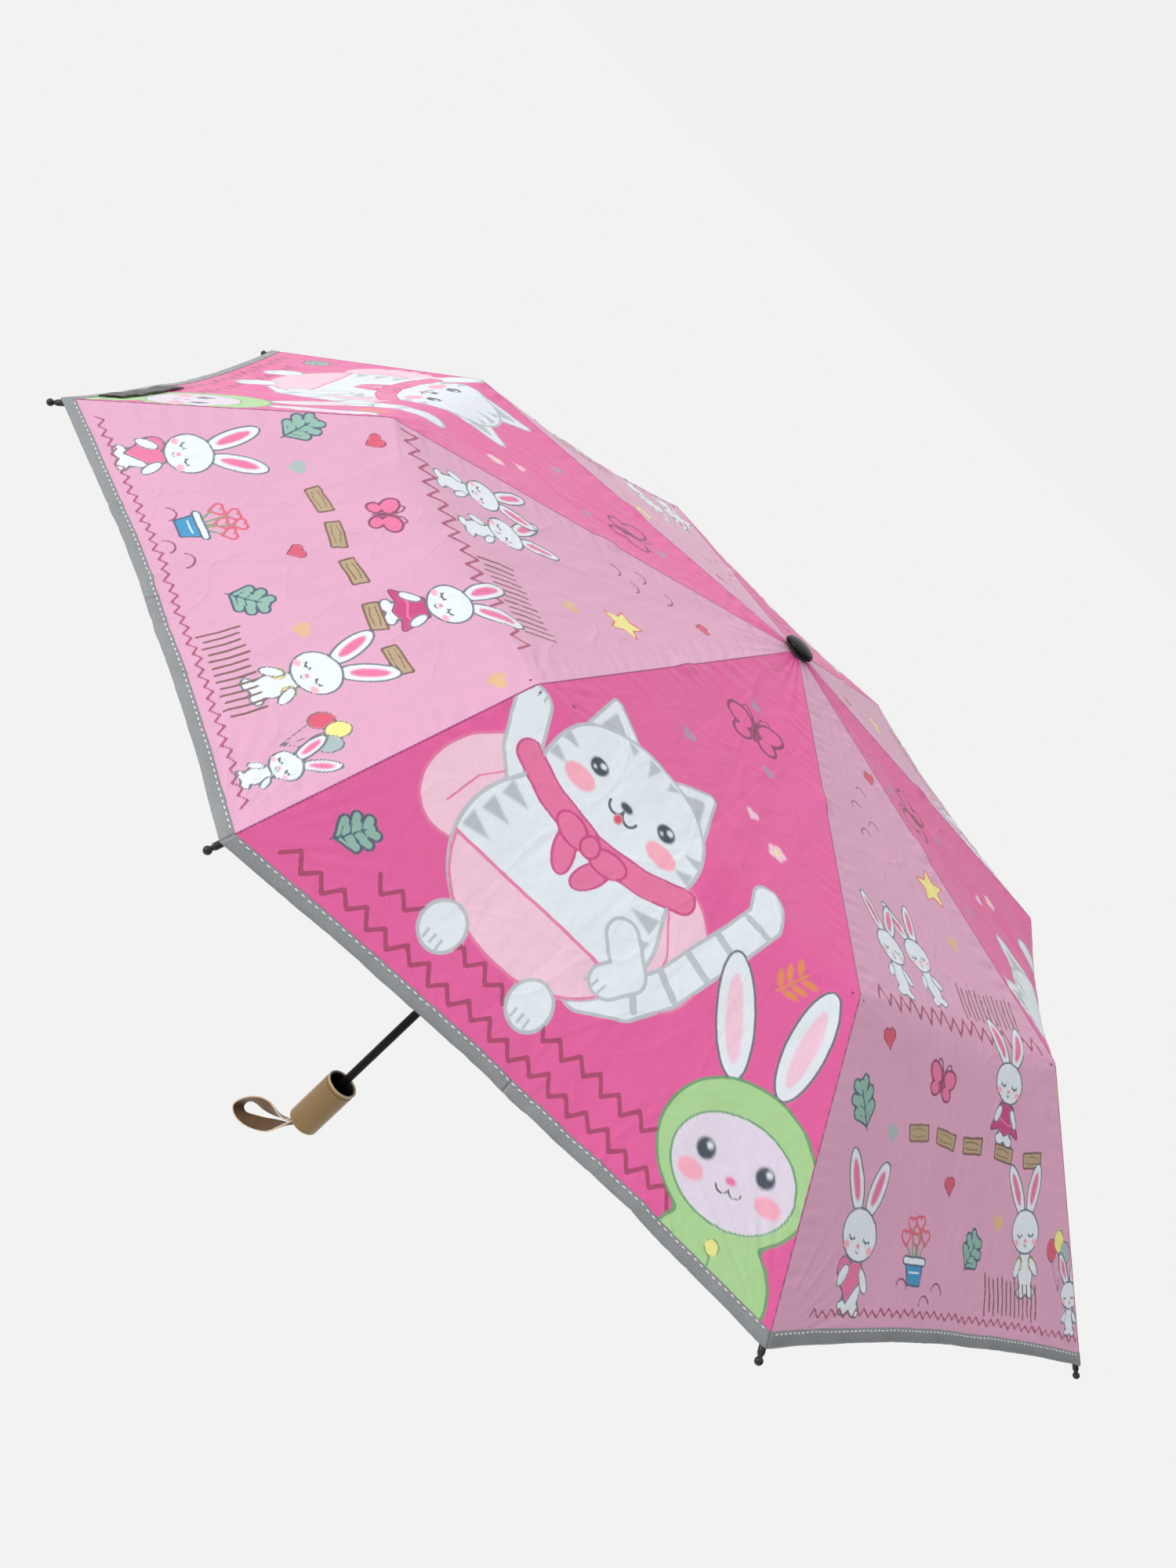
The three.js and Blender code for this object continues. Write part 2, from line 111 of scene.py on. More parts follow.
# ---- what a user would change ----
class CanopySettings(PropertyGroup):
    inner_slope: FloatProperty(name="Inner slope", description="Fall of the ribs from the crown to the knee",
                               default=radians(8.46), subtype="ANGLE")
    outer_slope: FloatProperty(name="Outer slope", description="Fall of the ribs from the knee to the tip",
                               default=radians(36.6), subtype="ANGLE")
    first: length("First joint", "Distance from the crown to the first joint, along the rib", 155)
    knee: length("Knee", "Distance from the crown to the knee, along the rib", 319.5)
    outer: length("Outer rib", "Length of the cloth from the knee to the tip", 201)
    lift: length("Cloth lift", "Height of the cloth above the rib line", 2.8)
    dip: length("Hem dip", "How far the hem curves in between two tips", 12)
    sag: number("Sag", "Sag of the cloth as a share of half the span between ribs", 0.035)
    thickness: length("Cloth thickness", "Thickness of the coated cloth", 0.5)
    spacing: length("Weave grid", "Spacing of the cloth's mesh", 1.4)
    binding: length("Binding width", "Width of the reflective binding on the hem", 8.4)
    stitch: length("Stitch length", "Length of one stitch of the lockstitch on the hem", 2.9)
    pitch: length("Stitch pitch", "Distance from stitch to stitch", 4.3)
    hot_pink: tint("Hot pink", "Ground colour of the darker panels", "de599b")
    light_pink: tint("Light pink", "Ground colour of the lighter panels", "d6a0be")
    coating: tint("Coating", "Colour of the coated underside", "17171b")
    grey: tint("Binding grey", "Colour of the reflective binding", "85898d")
    thread: tint("Thread", "Colour of the hem's thread", "e9ebec")


class FittingSettings(PropertyGroup):
    cap_radius: length("Cap radius", "Radius of the top cap", 12)
    cap_height: length("Cap height", "Height of the top cap, from its teeth to its crown", 6.4)
    cap_teeth: IntProperty(name="Cap teeth", description="Teeth on the cap's edge", default=24)
    tip_radius: length("Tip radius", "Radius of the ball on each rib tip", 2.4)
    patch_radius: length("Patch radius", "Radius of the cloth patch over each knee", 1.6)
    plastic: tint("Black plastic", "Colour of the moulded black pieces", "0e0e10")
    lacquer: tint("Black lacquer", "Colour of the lacquered shaft tubes", "0c0908")
    steel: tint("Steel", "Colour of the plated steel", "a9abae")
    aluminium: tint("Aluminium", "Colour of the aluminium channels", "c4c6c9")


class HandleSettings(PropertyGroup):
    radius: length("Handle radius", "Outer radius of the handle", 13.6)
    height: length("Handle length", "Length of the handle", 52)
    cup: length("Cup radius", "Inner radius of the handle's cup", 12.2)
    depth: length("Cup depth", "Depth of the handle's cup", 24)
    paint: tint("Handle paint", "Colour of the handle", "8d7044")
    suede: tint("Strap suede", "Colour of the wrist strap's faces", "634526")
    edge: tint("Strap edge", "Colour of the wrist strap's painted edges", "d9bfa6")
    strap_width: length("Strap width", "Width of the wrist strap", 12)
    strap_thickness: length("Strap thickness", "Thickness of the wrist strap", 1.5)


class StageSettings(PropertyGroup):
    place: FloatVectorProperty(name="Camera place", description="Where the camera stands",
                               default=(0.602, 1.041, 0.818), subtype="TRANSLATION", precision=3)
    aim: FloatVectorProperty(name="Camera aim", description="What the camera looks at",
                             default=(0.0663, 0.0487, 0.407), subtype="TRANSLATION", precision=3)
    roll: FloatProperty(name="Camera roll", description="Turn of the camera about its own line of sight",
                        default=radians(45.8), subtype="ANGLE")
    lens: FloatProperty(name="Focal length", description="Focal length on a 36 mm sensor, in mm",
                        default=39.9)
    floor: FloatProperty(name="Floor height", description="Height of the floor", default=-2.5, unit="LENGTH")
    backdrop: tint("Backdrop", "Colour of floor and surroundings", "f1f1f1")
    surroundings: number("Surroundings", "Brightness of the surroundings", 1.34)
    key: number("Key light", "Power of the soft key light, in watts", 12)
    fill: number("Fill light", "Power of the soft fill light, in watts", 2.5)


def settings():
    return bpy.context.scene.umbrella


class UmbrellaSettings(PropertyGroup):
    canopy: PointerProperty(type=CanopySettings, name="Canopy", description="Canopy sizes and colours")
    fittings: PointerProperty(type=FittingSettings, name="Fittings",
                              description="Sizes and colours of fittings")
    handle: PointerProperty(type=HandleSettings, name="Handle", description="Handle sizes and colours")
    stage: PointerProperty(type=StageSettings, name="Stage", description="Camera, floor and lights")


# ---- finishes ----
class Value:
    """A shader socket that takes part in arithmetic by adding Math nodes."""

    def __init__(self, finish, socket):
        self.finish, self.socket = finish, socket

    def math(self, operation, *values):
        inputs = dict(enumerate(values))
        return self.finish.node("Math", {"operation": operation}, inputs)

    def __add__(self, other):
        return self.math("ADD", self, other)

    def __radd__(self, other):
        return self.math("ADD", other, self)

    def __mul__(self, other):
        return self.math("MULTIPLY", self, other)

    def __rmul__(self, other):
        return self.math("MULTIPLY", other, self)

    def between(self, low, high, to_low=0.0, to_high=1.0):
        """Smoothly from to_low at low to to_high at high."""
        return self.finish.node("MapRange", {"interpolation_type": "SMOOTHSTEP"},
                                {"Value": self, "From Min": low, "From Max": high,
                                 "To Min": to_low, "To Max": to_high})


class Finish:
    """One material, with its nodes added through one method."""

    def __init__(self, name, **sockets):
        self.material = bpy.data.materials.new(name)
        self.material.use_nodes = True
        self.tree = self.material.node_tree
        self.shader = self.tree.nodes["Principled BSDF"]
        for socket, value in sockets.items():
            self.shade(socket.replace("_", " "), value)

    def feed(self, socket, value):
        """Link a value to a socket, or set the socket to a plain one."""
        if isinstance(value, Value):
            self.tree.links.new(value.socket, socket)
        else:
            socket.default_value = value

    def shade(self, socket, value):
        self.feed(self.shader.inputs[socket], value)

    def node(self, kind, options=None, inputs=None, output=0):
        """Any node, from its type, its settings and the values or links of its sockets."""
        made = self.tree.nodes.new("ShaderNode" + kind)
        for name, value in (options or {}).items():
            if name == "stops":
                ramp = made.color_ramp.elements
                while len(ramp) < len(value):
                    ramp.new(0.5)
                for element, (position, shade) in zip(ramp, value):
                    element.position, element.color = position, shade
            else:
                setattr(made, name, value)
        for name, value in (inputs or {}).items():
            self.feed(made.inputs[name], value)
        return Value(self, made.outputs[output])

    def places(self, stretch=(1, 1, 1)):
        """Object coordinates, stretched."""
        here = self.node("TexCoord", output="Object")
        return self.node("Mapping", inputs={"Vector": here, "Scale": stretch})

    def weave_places(self, stretch=(1, 1, 1)):
        """The cloth's own flat coordinates, in metres."""
        here = self.node("UVMap", {"uv_map": "flat"})
        return self.node("Mapping", inputs={"Vector": here, "Scale": stretch})

    def noise(self, places, scale, detail=3.0, roughness=0.5):
        return self.node("TexNoise", inputs={"Vector": places, "Scale": scale, "Detail": detail,
                                             "Roughness": roughness})

    def mix(self, factor, a, b, blend="MIX"):
        return self.node("Mix", {"data_type": "RGBA", "blend_type": blend},
                         {0: factor, 6: a, 7: b}, output=2)

    def vary(self, base, value, low, high):
        """Base, from low times as bright to high times as bright, as value goes from 0 to 1."""
        shade = self.node("ValToRGB", {"stops": [(0.25, (low, low, low, 1)), (0.75, (high, high, high, 1))]},
                          {"Fac": value})
        return self.mix(1.0, base, shade, "MULTIPLY")

    def complete(self, base, mottle, rough, height, strength, depth=0.0002, span=(0.3, 0.7)):
        """Colour, roughness between two values as the mottle crosses its span, and relief."""
        self.shade("Base Color", base)
        self.shade("Roughness", mottle.between(*span, *rough))
        self.shade("Normal", self.node("Bump", inputs={"Height": height, "Strength": strength,
                                                       "Distance": depth}))
        return self.material


def attribute(finish, name, output="Color"):
    return finish.node("Attribute", {"attribute_name": name}, output=output)


def printed_cloth(name):
    """Printed pongee: the print's colours with its drawn lines on top, and the cloth's own grain."""
    f = Finish(name, Sheen_Weight=0.14, Sheen_Roughness=0.35, Specular_IOR_Level=0.45)
    line = attribute(f, "line_away", "Fac").between(0.22, -0.22)
    inked = f.mix(line * 0.9, attribute(f, "print"), attribute(f, "ink"))
    flat = f.weave_places()
    threads = f.noise(f.weave_places((1.0, 0.22, 1.0)), 900, 2)
    cross = f.noise(f.weave_places((0.3, 1.0, 1.0)), 760, 2)
    broad = f.noise(flat, 11, 3)
    worn = f.vary(f.vary(inked, broad, 0.965, 1.03), (threads + cross) * 0.5, 0.93, 1.05)
    return f.complete(worn, broad, (0.4, 0.54), threads + cross, 0.25)


def coated_cloth(name, shade):
    """The black coated underside, with the weave showing through."""
    f = Finish(name, Specular_IOR_Level=0.4, Sheen_Weight=0.1)
    grain = f.noise(f.places(), 1400, 2)
    broad = f.noise(f.places(), 14, 3)
    return f.complete(f.vary(shade, broad, 0.8, 1.25), broad, (0.42, 0.58), grain, 0.3)


def reflective_tape(name, shade):
    """Glass-bead tape: fine bright grains on grey, slightly creased."""
    f = Finish(name, Metallic=0.15, Specular_IOR_Level=0.5)
    beads = f.node("TexVoronoi", inputs={"Vector": f.places(), "Scale": 1500.0})
    cloudy = f.noise(f.places(), 60, 3)
    base = f.vary(f.vary(shade, cloudy, 0.9, 1.08), beads, 0.92, 1.1)
    return f.complete(base, cloudy, (0.38, 0.5), beads + cloudy, 0.2)


def woven_ribbon(name, shade):
    """Polyester ribbon and patch cloth with a fine rib."""
    f = Finish(name, Sheen_Weight=0.3, Specular_IOR_Level=0.35)
    ribs = f.node("TexWave", {"wave_type": "BANDS", "bands_direction": "DIAGONAL"},
                  {"Vector": f.places(), "Scale": 420.0, "Distortion": 1.5, "Detail": 2.0})
    cloudy = f.noise(f.places(), 90, 3)
    base = f.vary(f.vary(shade, cloudy, 0.8, 1.3), ribs, 0.75, 1.2)
    return f.complete(base, cloudy, (0.6, 0.75), ribs, 0.4)


def sewing_thread(name, shade):
    """Twisted thread."""
    f = Finish(name, Sheen_Weight=0.2)
    twist = f.noise(f.places(), 2600, 2)
    return f.complete(f.vary(shade, twist, 0.85, 1.05), twist, (0.5, 0.65), twist, 0.3, 0.0001)


def moulded_plastic(name, shade, gloss, grain):
    """Moulded plastic: gloss is its roughness, grain the strength of its spark-eroded texture."""
    f = Finish(name, Specular_IOR_Level=0.5)
    texture = f.noise(f.places(), 1100, 2)
    smudges = f.noise(f.places(), 120, 3)
    return f.complete(f.vary(shade, smudges, 0.85, 1.2), smudges, (gloss, gloss + 0.12), texture, grain)


def cap_gloss(name, shade):
    """Glossy black with a clear surface and fine dust."""
    f = Finish(name, Specular_IOR_Level=0.22, Coat_Roughness=0.06)
    dust = f.noise(f.places(), 400, 4, 0.6)
    f.shade("Coat Weight", dust.between(0.7, 0.3, 0.0, 0.12))
    return f.complete(f.vary(shade, dust, 0.8, 1.3), dust, (0.14, 0.3), dust, 0.05, span=(0.45, 0.75))


def lacquered_tube(name, shade):
    """Black lacquer on steel, with faint drawing lines along the tube and rubbed patches."""
    f = Finish(name, Specular_IOR_Level=0.14)
    drawn = f.noise(f.places((1, 1, 0.02)), 1500, 2)
    rubbed = f.noise(f.places((1, 1, 0.35)), 90, 4, 0.6)
    return f.complete(f.vary(shade, rubbed, 0.8, 1.5), rubbed, (0.3, 0.44), drawn, 0.12, 0.0001, (0.35, 0.7))


def rolled_metal(name, shade, rough, metallic=1.0):
    """Rolled and plated metal with faint streaks and handling marks."""
    f = Finish(name)
    streaks = f.noise(f.places((0.15, 0.15, 1)), 900, 3)
    marks = f.noise(f.places(), 130, 4, 0.65)
    f.shade("Metallic", marks.between(0.78, 0.55, metallic * 0.85, metallic))
    base = f.vary(f.vary(shade, streaks, 0.9, 1.08), marks, 0.85, 1.08)
    return f.complete(base, marks, (rough, rough + 0.16), streaks, 0.1, 0.0001)


def glass_fibre(name, shade):
    """Pulled glass-fibre rod: dark resin with long fine fibres."""
    f = Finish(name, Specular_IOR_Level=0.5)
    fibres = f.noise(f.places((0.2, 0.2, 1)), 1200, 3)
    return f.complete(f.vary(shade, fibres, 0.6, 2.2), fibres, (0.32, 0.5), fibres, 0.2, 0.0001)


def handle_paint(name, shade):
    """Satin metallic paint over moulded plastic, with a painted highlight along the rim and the foot's
    rounded edge.
    """
    f = Finish(name, Specular_IOR_Level=0.5, Coat_Roughness=0.3)
    flakes = f.noise(f.places(), 1500, 2)
    brushed = f.noise(f.places((1, 1, 0.05)), 500, 3)
    cloudy = f.noise(f.places(), 45, 3)
    here = f.node("TexCoord", output="Object")
    height = f.node("SeparateXYZ", inputs={0: here}, output=2)
    # painted highlight: the rim and the foot's rounded edge are mixed towards light tan
    rim = height.between(0.0502, 0.0513)
    foot = height.between(0.0016, 0.0002)
    body = f.vary(f.vary(f.vary(shade, cloudy, 0.92, 1.06), brushed, 0.95, 1.05), flakes, 0.9, 1.1)
    f.shade("Metallic", flakes.between(0.3, 0.7, 0.15, 0.4))
    f.shade("Coat Weight", cloudy.between(0.7, 0.3, 0.1, 0.25))
    base = f.mix((rim + foot * 0.35) * 0.75, body, colour("dccaa6"))
    return f.complete(base, cloudy, (0.36, 0.46), flakes + brushed, 0.08, 0.0001)


def suede(name, shade):
    """Brushed suede: a soft nap with darker and lighter strokes."""
    f = Finish(name, Sheen_Weight=0.4, Sheen_Roughness=0.5, Specular_IOR_Level=0.2)
    nap = f.noise(f.places(), 1500, 3)
    strokes = f.noise(f.places((1, 1, 0.5)), 160, 4, 0.65)
    base = f.vary(f.vary(shade, strokes, 0.72, 1.25), nap, 0.85, 1.12)
    return f.complete(base, strokes, (0.85, 0.95), nap + strokes, 0.5, 0.0003)


def painted_edge(name, shade):
    """The strap's cut edge, sealed with edge paint."""
    f = Finish(name, Specular_IOR_Level=0.4)
    uneven = f.noise(f.places(), 300, 3)
    return f.complete(f.vary(shade, uneven, 0.85, 1.08), uneven, (0.5, 0.65), uneven, 0.15)


FINISHES = {}


def finish(name):
    """A finish by its slot name, made once."""
    if name not in FINISHES:
        s = settings()
        makers = {
            "hot_pink_cloth": (printed_cloth,),
            "light_pink_cloth": (printed_cloth,),
            "coating": (coated_cloth, s.canopy.coating),
            "reflective_binding": (reflective_tape, s.canopy.grey),
            "thread": (sewing_thread, s.canopy.thread),
            "black_cloth": (woven_ribbon, colour("1d1d20")),
            # darker pink than the panels: painted shade for the shadow line along each rib seam
            "seam_cloth": (woven_ribbon, colour("a4517f")),
            "black_plastic": (moulded_plastic, s.fittings.plastic, 0.34, 0.15),
            "tip_plastic": (moulded_plastic, s.fittings.plastic, 0.2, 0.05),
            "grey_plastic": (moulded_plastic, colour("75777a"), 0.4, 0.2),
            "cap_plastic": (cap_gloss, s.fittings.plastic),
            "black_tube": (lacquered_tube, s.fittings.lacquer),
            "steel": (rolled_metal, s.fittings.steel, 0.3),
            "aluminium": (rolled_metal, s.fittings.aluminium, 0.36),
            "black_fibreglass": (glass_fibre, colour("141417")),
            "tan_handle": (handle_paint, s.handle.paint),
            "strap_suede": (suede, s.handle.suede),
            "strap_edge": (painted_edge, s.handle.edge),
            "strap_thread": (sewing_thread, colour("3b2616")),
        }
        maker, *choices = makers[name]
        FINISHES[name] = maker(name, *choices)
    return FINISHES[name]


# ---- the printed pattern, painted on the flat-cut panels: x across and y down from the crown, in mm ----
INKS = {
    "berry": "7d2f55", "rose": "9c3a5e", "outline": "59636f", "white": "dde6ee", "blush": "f2a9be",
    "pink": "e0709f", "red": "d4526d", "tan": "d6b187", "sage": "9fb5b5", "teal": "8ab3a6",
    "navy": "33506a", "green": "a5cf90", "leaf": "5f9a6a", "lilac": "ddd3e4", "yellow": "e9e28b",
    "brown": "6b4a3c", "sand": "b09c7c", "blue": "3390c2", "grey": "b3bbc2", "mauve": "a98ba8",
    "orange": "dd8a4e", "shell": "ecc3d6", "deep": "c43a7c", "dark": "3d4754",
}
# how far the print is shifted sideways on some panels, in mm
PRINT_SHIFTS = {3: 18.0, 7: -14.0, 4: -10.0, 6: 12.0}


def melt(a, b, soft):
    """The smaller of two, rounded where they meet."""
    h = np.clip(0.5 + 0.5 * (b - a) / soft, 0, 1)
    return b + (a - b) * h - soft * h * (1 - h)


class Print:
    """Ground colour, shapes and drawn lines for the points of one cloth piece."""

    def __init__(self, x, y, ground, spacing):
        self.all_x, self.all_y, self.spacing = x, y, spacing
        self.colours = np.tile(np.array(ground[:3]), (len(x), 1))
        self.line_away = np.full(len(x), 9.0)
        self.line_colours = self.colours.copy()
        self.shift = 0.0
        self.move(0, 0, 1)

    def move(self, x, y, reach, turn=0.0, size=1.0, flip=1):
        """Work near one place, in its own turned and sized coordinates."""
        x += self.shift
        self.near = np.flatnonzero((np.abs(self.all_x - x) < reach) & (np.abs(self.all_y - y) < reach))
        dx, dy = self.all_x[self.near] - x, self.all_y[self.near] - y
        c, s = cos(radians(turn)), sin(radians(turn))
        self.x, self.y = flip * (dx * c + dy * s) / size, (dy * c - dx * s) / size
        self.size = size
        return len(self.near) > 0

    def disc(self, x, y, radius):
        return np.hypot(self.x - x, self.y - y) - radius

    def oval(self, x, y, rx, ry, turn=0.0):
        c, s = cos(radians(turn)), sin(radians(turn))
        dx, dy = self.x - x, self.y - y
        u, v = dx * c + dy * s, dy * c - dx * s
        k = np.hypot(u / rx, v / ry)
        return k * (k - 1) / np.maximum(np.hypot(u / rx ** 2, v / ry ** 2), 1e-6)

    def stroke(self, points, radius=0.0):
        best = np.full(len(self.x), 1e3)
        for (ax, ay), (bx, by) in zip(points, points[1:]):
            dx, dy = bx - ax, by - ay
            t = np.clip(((self.x - ax) * dx + (self.y - ay) * dy) / (dx * dx + dy * dy), 0, 1)
            best = np.minimum(best, np.hypot(self.x - ax - t * dx, self.y - ay - t * dy))
        return best - radius

    def arc(self, x, y, radius, start, end, half=0.0):
        count = max(4, int(abs(end - start) / 14))
        angles = [radians(start + (end - start) * i / count) for i in range(count + 1)]
        return self.stroke([(x + radius * cos(a), y + radius * sin(a)) for a in angles], half)

    def polygon(self, points):
        best = np.full(len(self.x), 1e6)
        inside = np.ones(len(self.x))
        for (ax, ay), (bx, by) in zip(points, points[1:] + points[:1]):
            ex, ey = bx - ax, by - ay
            wx, wy = self.x - ax, self.y - ay
            t = np.clip((wx * ex + wy * ey) / (ex * ex + ey * ey), 0, 1)
            best = np.minimum(best, (wx - ex * t) ** 2 + (wy - ey * t) ** 2)
            above, below = self.y >= ay, self.y < by
            left = ex * wy > ey * wx
            inside = np.where((above & below & left) | (~above & ~below & ~left), -inside, inside)
        return inside * np.sqrt(best)

    def fill(self, away, shade, line=None, width=1.5):
        """Colour the inside of a shape; away is the signed distance from its edge."""
        away = away * self.size
        cover = np.clip(0.5 - away / self.spacing, 0, 1)[:, None]
        here = self.colours[self.near]
        self.colours[self.near] = here + (np.array(colour(INKS[shade])[:3]) - here) * cover
        self.line_away[self.near] = np.maximum(self.line_away[self.near], -away)
        if line:
            self.line(away / self.size, line, width)

    def line(self, away, shade, width):
        """Draw a line that wide along the edge of a shape or along a stroke."""
        away = np.abs(away) * self.size - width / 2
        closer = away < self.line_away[self.near]
        self.line_colours[self.near[closer]] = colour(INKS[shade])[:3]
        self.line_away[self.near] = np.minimum(self.line_away[self.near], away)

    def heart_shape(self, x=0.0, y=0.0, size=1.0):
        lobes = np.minimum(self.disc(x - 0.25 * size, y - 0.2 * size, 0.3 * size),
                           self.disc(x + 0.25 * size, y - 0.2 * size, 0.3 * size))
        point = self.polygon([(x - 0.52 * size, y - 0.06 * size), (x, y - 0.3 * size),
                              (x + 0.52 * size, y - 0.06 * size), (x, y + 0.55 * size)])
        return melt(lobes, point, 0.08 * size)


def heart(p, x, y, size, shade, line=None, turn=0):
    """A plain heart."""
    if p.move(x, y, size, turn):
        p.fill(p.heart_shape(size=size), shade, line, 1.0)


def star(p, x, y, size, shade, line):
    """A five-pointed star."""
    if p.move(x, y, size, 8):
        r = [size / 2 * (1 if i % 2 == 0 else 0.46) for i in range(10)]
        p.fill(p.polygon([(r[i] * sin(i * pi / 5), -r[i] * cos(i * pi / 5)) for i in range(10)]) - 1,
               shade, line, 1.4)


def leaf(p, x, y, size, turn):
    """A lobed leaf."""
    if p.move(x, y, size, turn, size / 30):
        blade = p.oval(0, -1, 6, 13)
        for side in (-1, 1):
            for y, reach in ((-9, 5), (-2, 9), (6, 8.5)):
                blade = melt(blade, p.stroke([(0, y + 3), (side * reach, y - 3)], 3.4), 0.8)
        p.fill(blade, "teal", "navy", 1.5)
        p.line(p.stroke([(0, -8), (0, 16)]), "navy", 1.2)
        for side in (-1, 1):
            for y in (-4, 3, 9):
                p.line(p.stroke([(0, y), (side * 6, y - 4)]), "navy", 0.9)


def sprig(p, x, y, size, turn, shade):
    """A stem with three pairs of leaves."""
    if p.move(x, y, size, turn):
        p.line(p.stroke([(0, size * 0.5), (0, -size * 0.35)]), shade, 1.6)
        for side in (-1, 1):
            for k in (-0.2, 0.1, 0.35):
                p.fill(p.oval(side * size * 0.2, size * k - size * 0.08, size * 0.2, size * 0.075,
                              -side * 38), shade)


def flower(p, x, y, size, shade, middle):
    """A flower with five round petals."""
    if p.move(x, y, size):
        for i in range(5):
            a = i * 2 * pi / 5
            p.fill(p.disc(size * 0.27 * sin(a), -size * 0.27 * cos(a), size * 0.2), shade)
        p.fill(p.disc(0, 0, size * 0.15), middle)


def small_arch(p, x, y, width, turn=0):
    """A short curved line."""
    if p.move(x, y, width, turn):
        p.line(p.arc(0, width * 0.25, width * 0.5, 185, 355), "berry", 1.3)


def grass(p, v, start, end, amplitude, period, shade, width):
    """A zigzag line of grass across the panel."""
    count = int(abs(end - start) / (period / 2))
    way = 1 if end > start else -1
    points = [(start + way * i * period / 2, amplitude * ((-1) ** i) * (1 + 0.3 * sin(2.1 * i)))
              for i in range(count + 1)]
    for i in range(0, count, 6):
        some = points[i:i + 7]
        middle = (some[0][0] + some[-1][0]) / 2
        if len(some) > 1 and p.move(middle, v, abs(some[-1][0] - some[0][0]) / 2 + 12):
            p.line(p.stroke([(x - middle, y) for x, y in some]), shade, width)


def fence(p, v, start, end, lean):
    """A row of upright strokes."""
    if p.move((start + end) / 2, v, abs(end - start) / 2 + 16):
        half, count = abs(end - start) / 2, 13
        for i in range(count):
            x = -half + 2 * half * i / (count - 1)
            p.line(p.stroke([(x, 13 - 3 * abs(sin(1.7 * i))), (x + lean * 0.3, 0),
                             (x + lean, -13 + 3 * abs(sin(2.3 * i)))]), "brown", 1.7)


def blocks(p, v, places, width):
    """A row of wooden blocks."""
    for i, x in enumerate(places):
        if p.move(x, v, width, (-6, 5, -3, 7, -5)[i % 5]):
            long, tall = width * 0.42, width * 0.15
            p.fill(p.polygon([(-long, -tall), (long, -tall * 1.2), (long * 0.94, tall),
                              (-long * 0.95, tall * 1.1)]) - 0.8, "sand", "brown", 1.4)
            for y in (-0.45, 0.4):
                p.line(p.stroke([(-long * 0.8, y * tall), (-long * 0.1, y * tall * 1.5),
                                 (long * 0.7, y * tall)]), "brown", 0.9)


def butterfly(p, x, y, size, shade, line, turn=0):
    """A butterfly, filled or only drawn."""
    if p.move(x, y, size, turn, size / 40):
        for side in (-1, 1):
            wing = melt(p.oval(side * 11, -6, 10, 8, side * -32), p.oval(side * 9, 7, 7, 6, side * 25), 2)
            if shade:
                p.fill(wing, shade, line, 1.6)
            else:
                p.line(wing, line, 2.4)
            p.line(p.stroke([(side, -9), (side * 4, -16), (side * 9, -19), (side * 11, -16)]), line, 1.3)
        p.fill(p.oval(0, 0, 2, 10), line)


def sleepy_eye(p, x, y, size):
    """A closed eye with three lashes."""
    p.line(p.arc(x, y - size * 0.4, size, 20, 160), "dark", 1.2)
    for k in (40, 90, 140):
        c, s = cos(radians(k)), sin(radians(k))
        p.line(p.stroke([(x + size * c, y - size * 0.4 + size * s),
                         (x + size * 1.5 * c, y + size * (1.5 * s - 0.4))]), "dark", 0.9)


def bunny(p, x, y, size, turn=0, flip=1, dress=None, line="outline"):
    """A plain toy rabbit; size is the width of its head."""
    if not p.move(x, y, size * 2.8, turn, size / 24, flip):
        return
    body = p.oval(0, 19, 7, 11)
    feet = np.minimum(p.oval(-4.5, 29, 4, 2.8), p.oval(4.5, 29, 4, 2.8))
    p.fill(melt(body, feet, 1.5), "white", line, 1.3)
    if dress == "skirt":
        p.fill(p.polygon([(-6, 12), (6, 12), (13, 25), (6, 23), (0, 26), (-6, 23), (-13, 25)]) - 1,
               "deep", "berry", 1.2)
        p.line(p.stroke([(-11, 21), (-4, 19), (4, 21), (11, 19)]), "pink", 1.5)
    elif dress == "discs":
        for side in (-1, 1):
            p.fill(p.disc(side * 6, 15, 3.4), "yellow", "sand", 1.0)
    elif dress == "heart":
        p.fill(p.heart_shape(-3, 18, 17), "pink", line, 1.3)
    p.fill(p.oval(-8, 17, 2.6, 5.5, 35), "white", line, 1.2)
    p.fill(p.oval(8, 17, 2.6, 5.5, -35), "white", line, 1.2)
    for side in (-1, 1):
        p.fill(p.oval(side * 8.5, -20, 5.2, 13.5, side * 24), "white", line, 1.4)
        p.fill(p.oval(side * 8.7, -20.5, 2.5, 8.5, side * 24), "pink")
    p.fill(p.oval(0, 0, 13, 10.5), "white", line, 1.4)
    for side in (-1, 1):
        sleepy_eye(p, side * 5.5, 1, 2.3)
        p.fill(p.oval(side * 8.8, 5, 2.2, 1.6), "blush")
    p.fill(p.oval(0, 4.4, 1.2, 0.9), "pink")
    p.line(p.arc(0, 5.6, 1.5, 20, 160), "dark", 1.0)


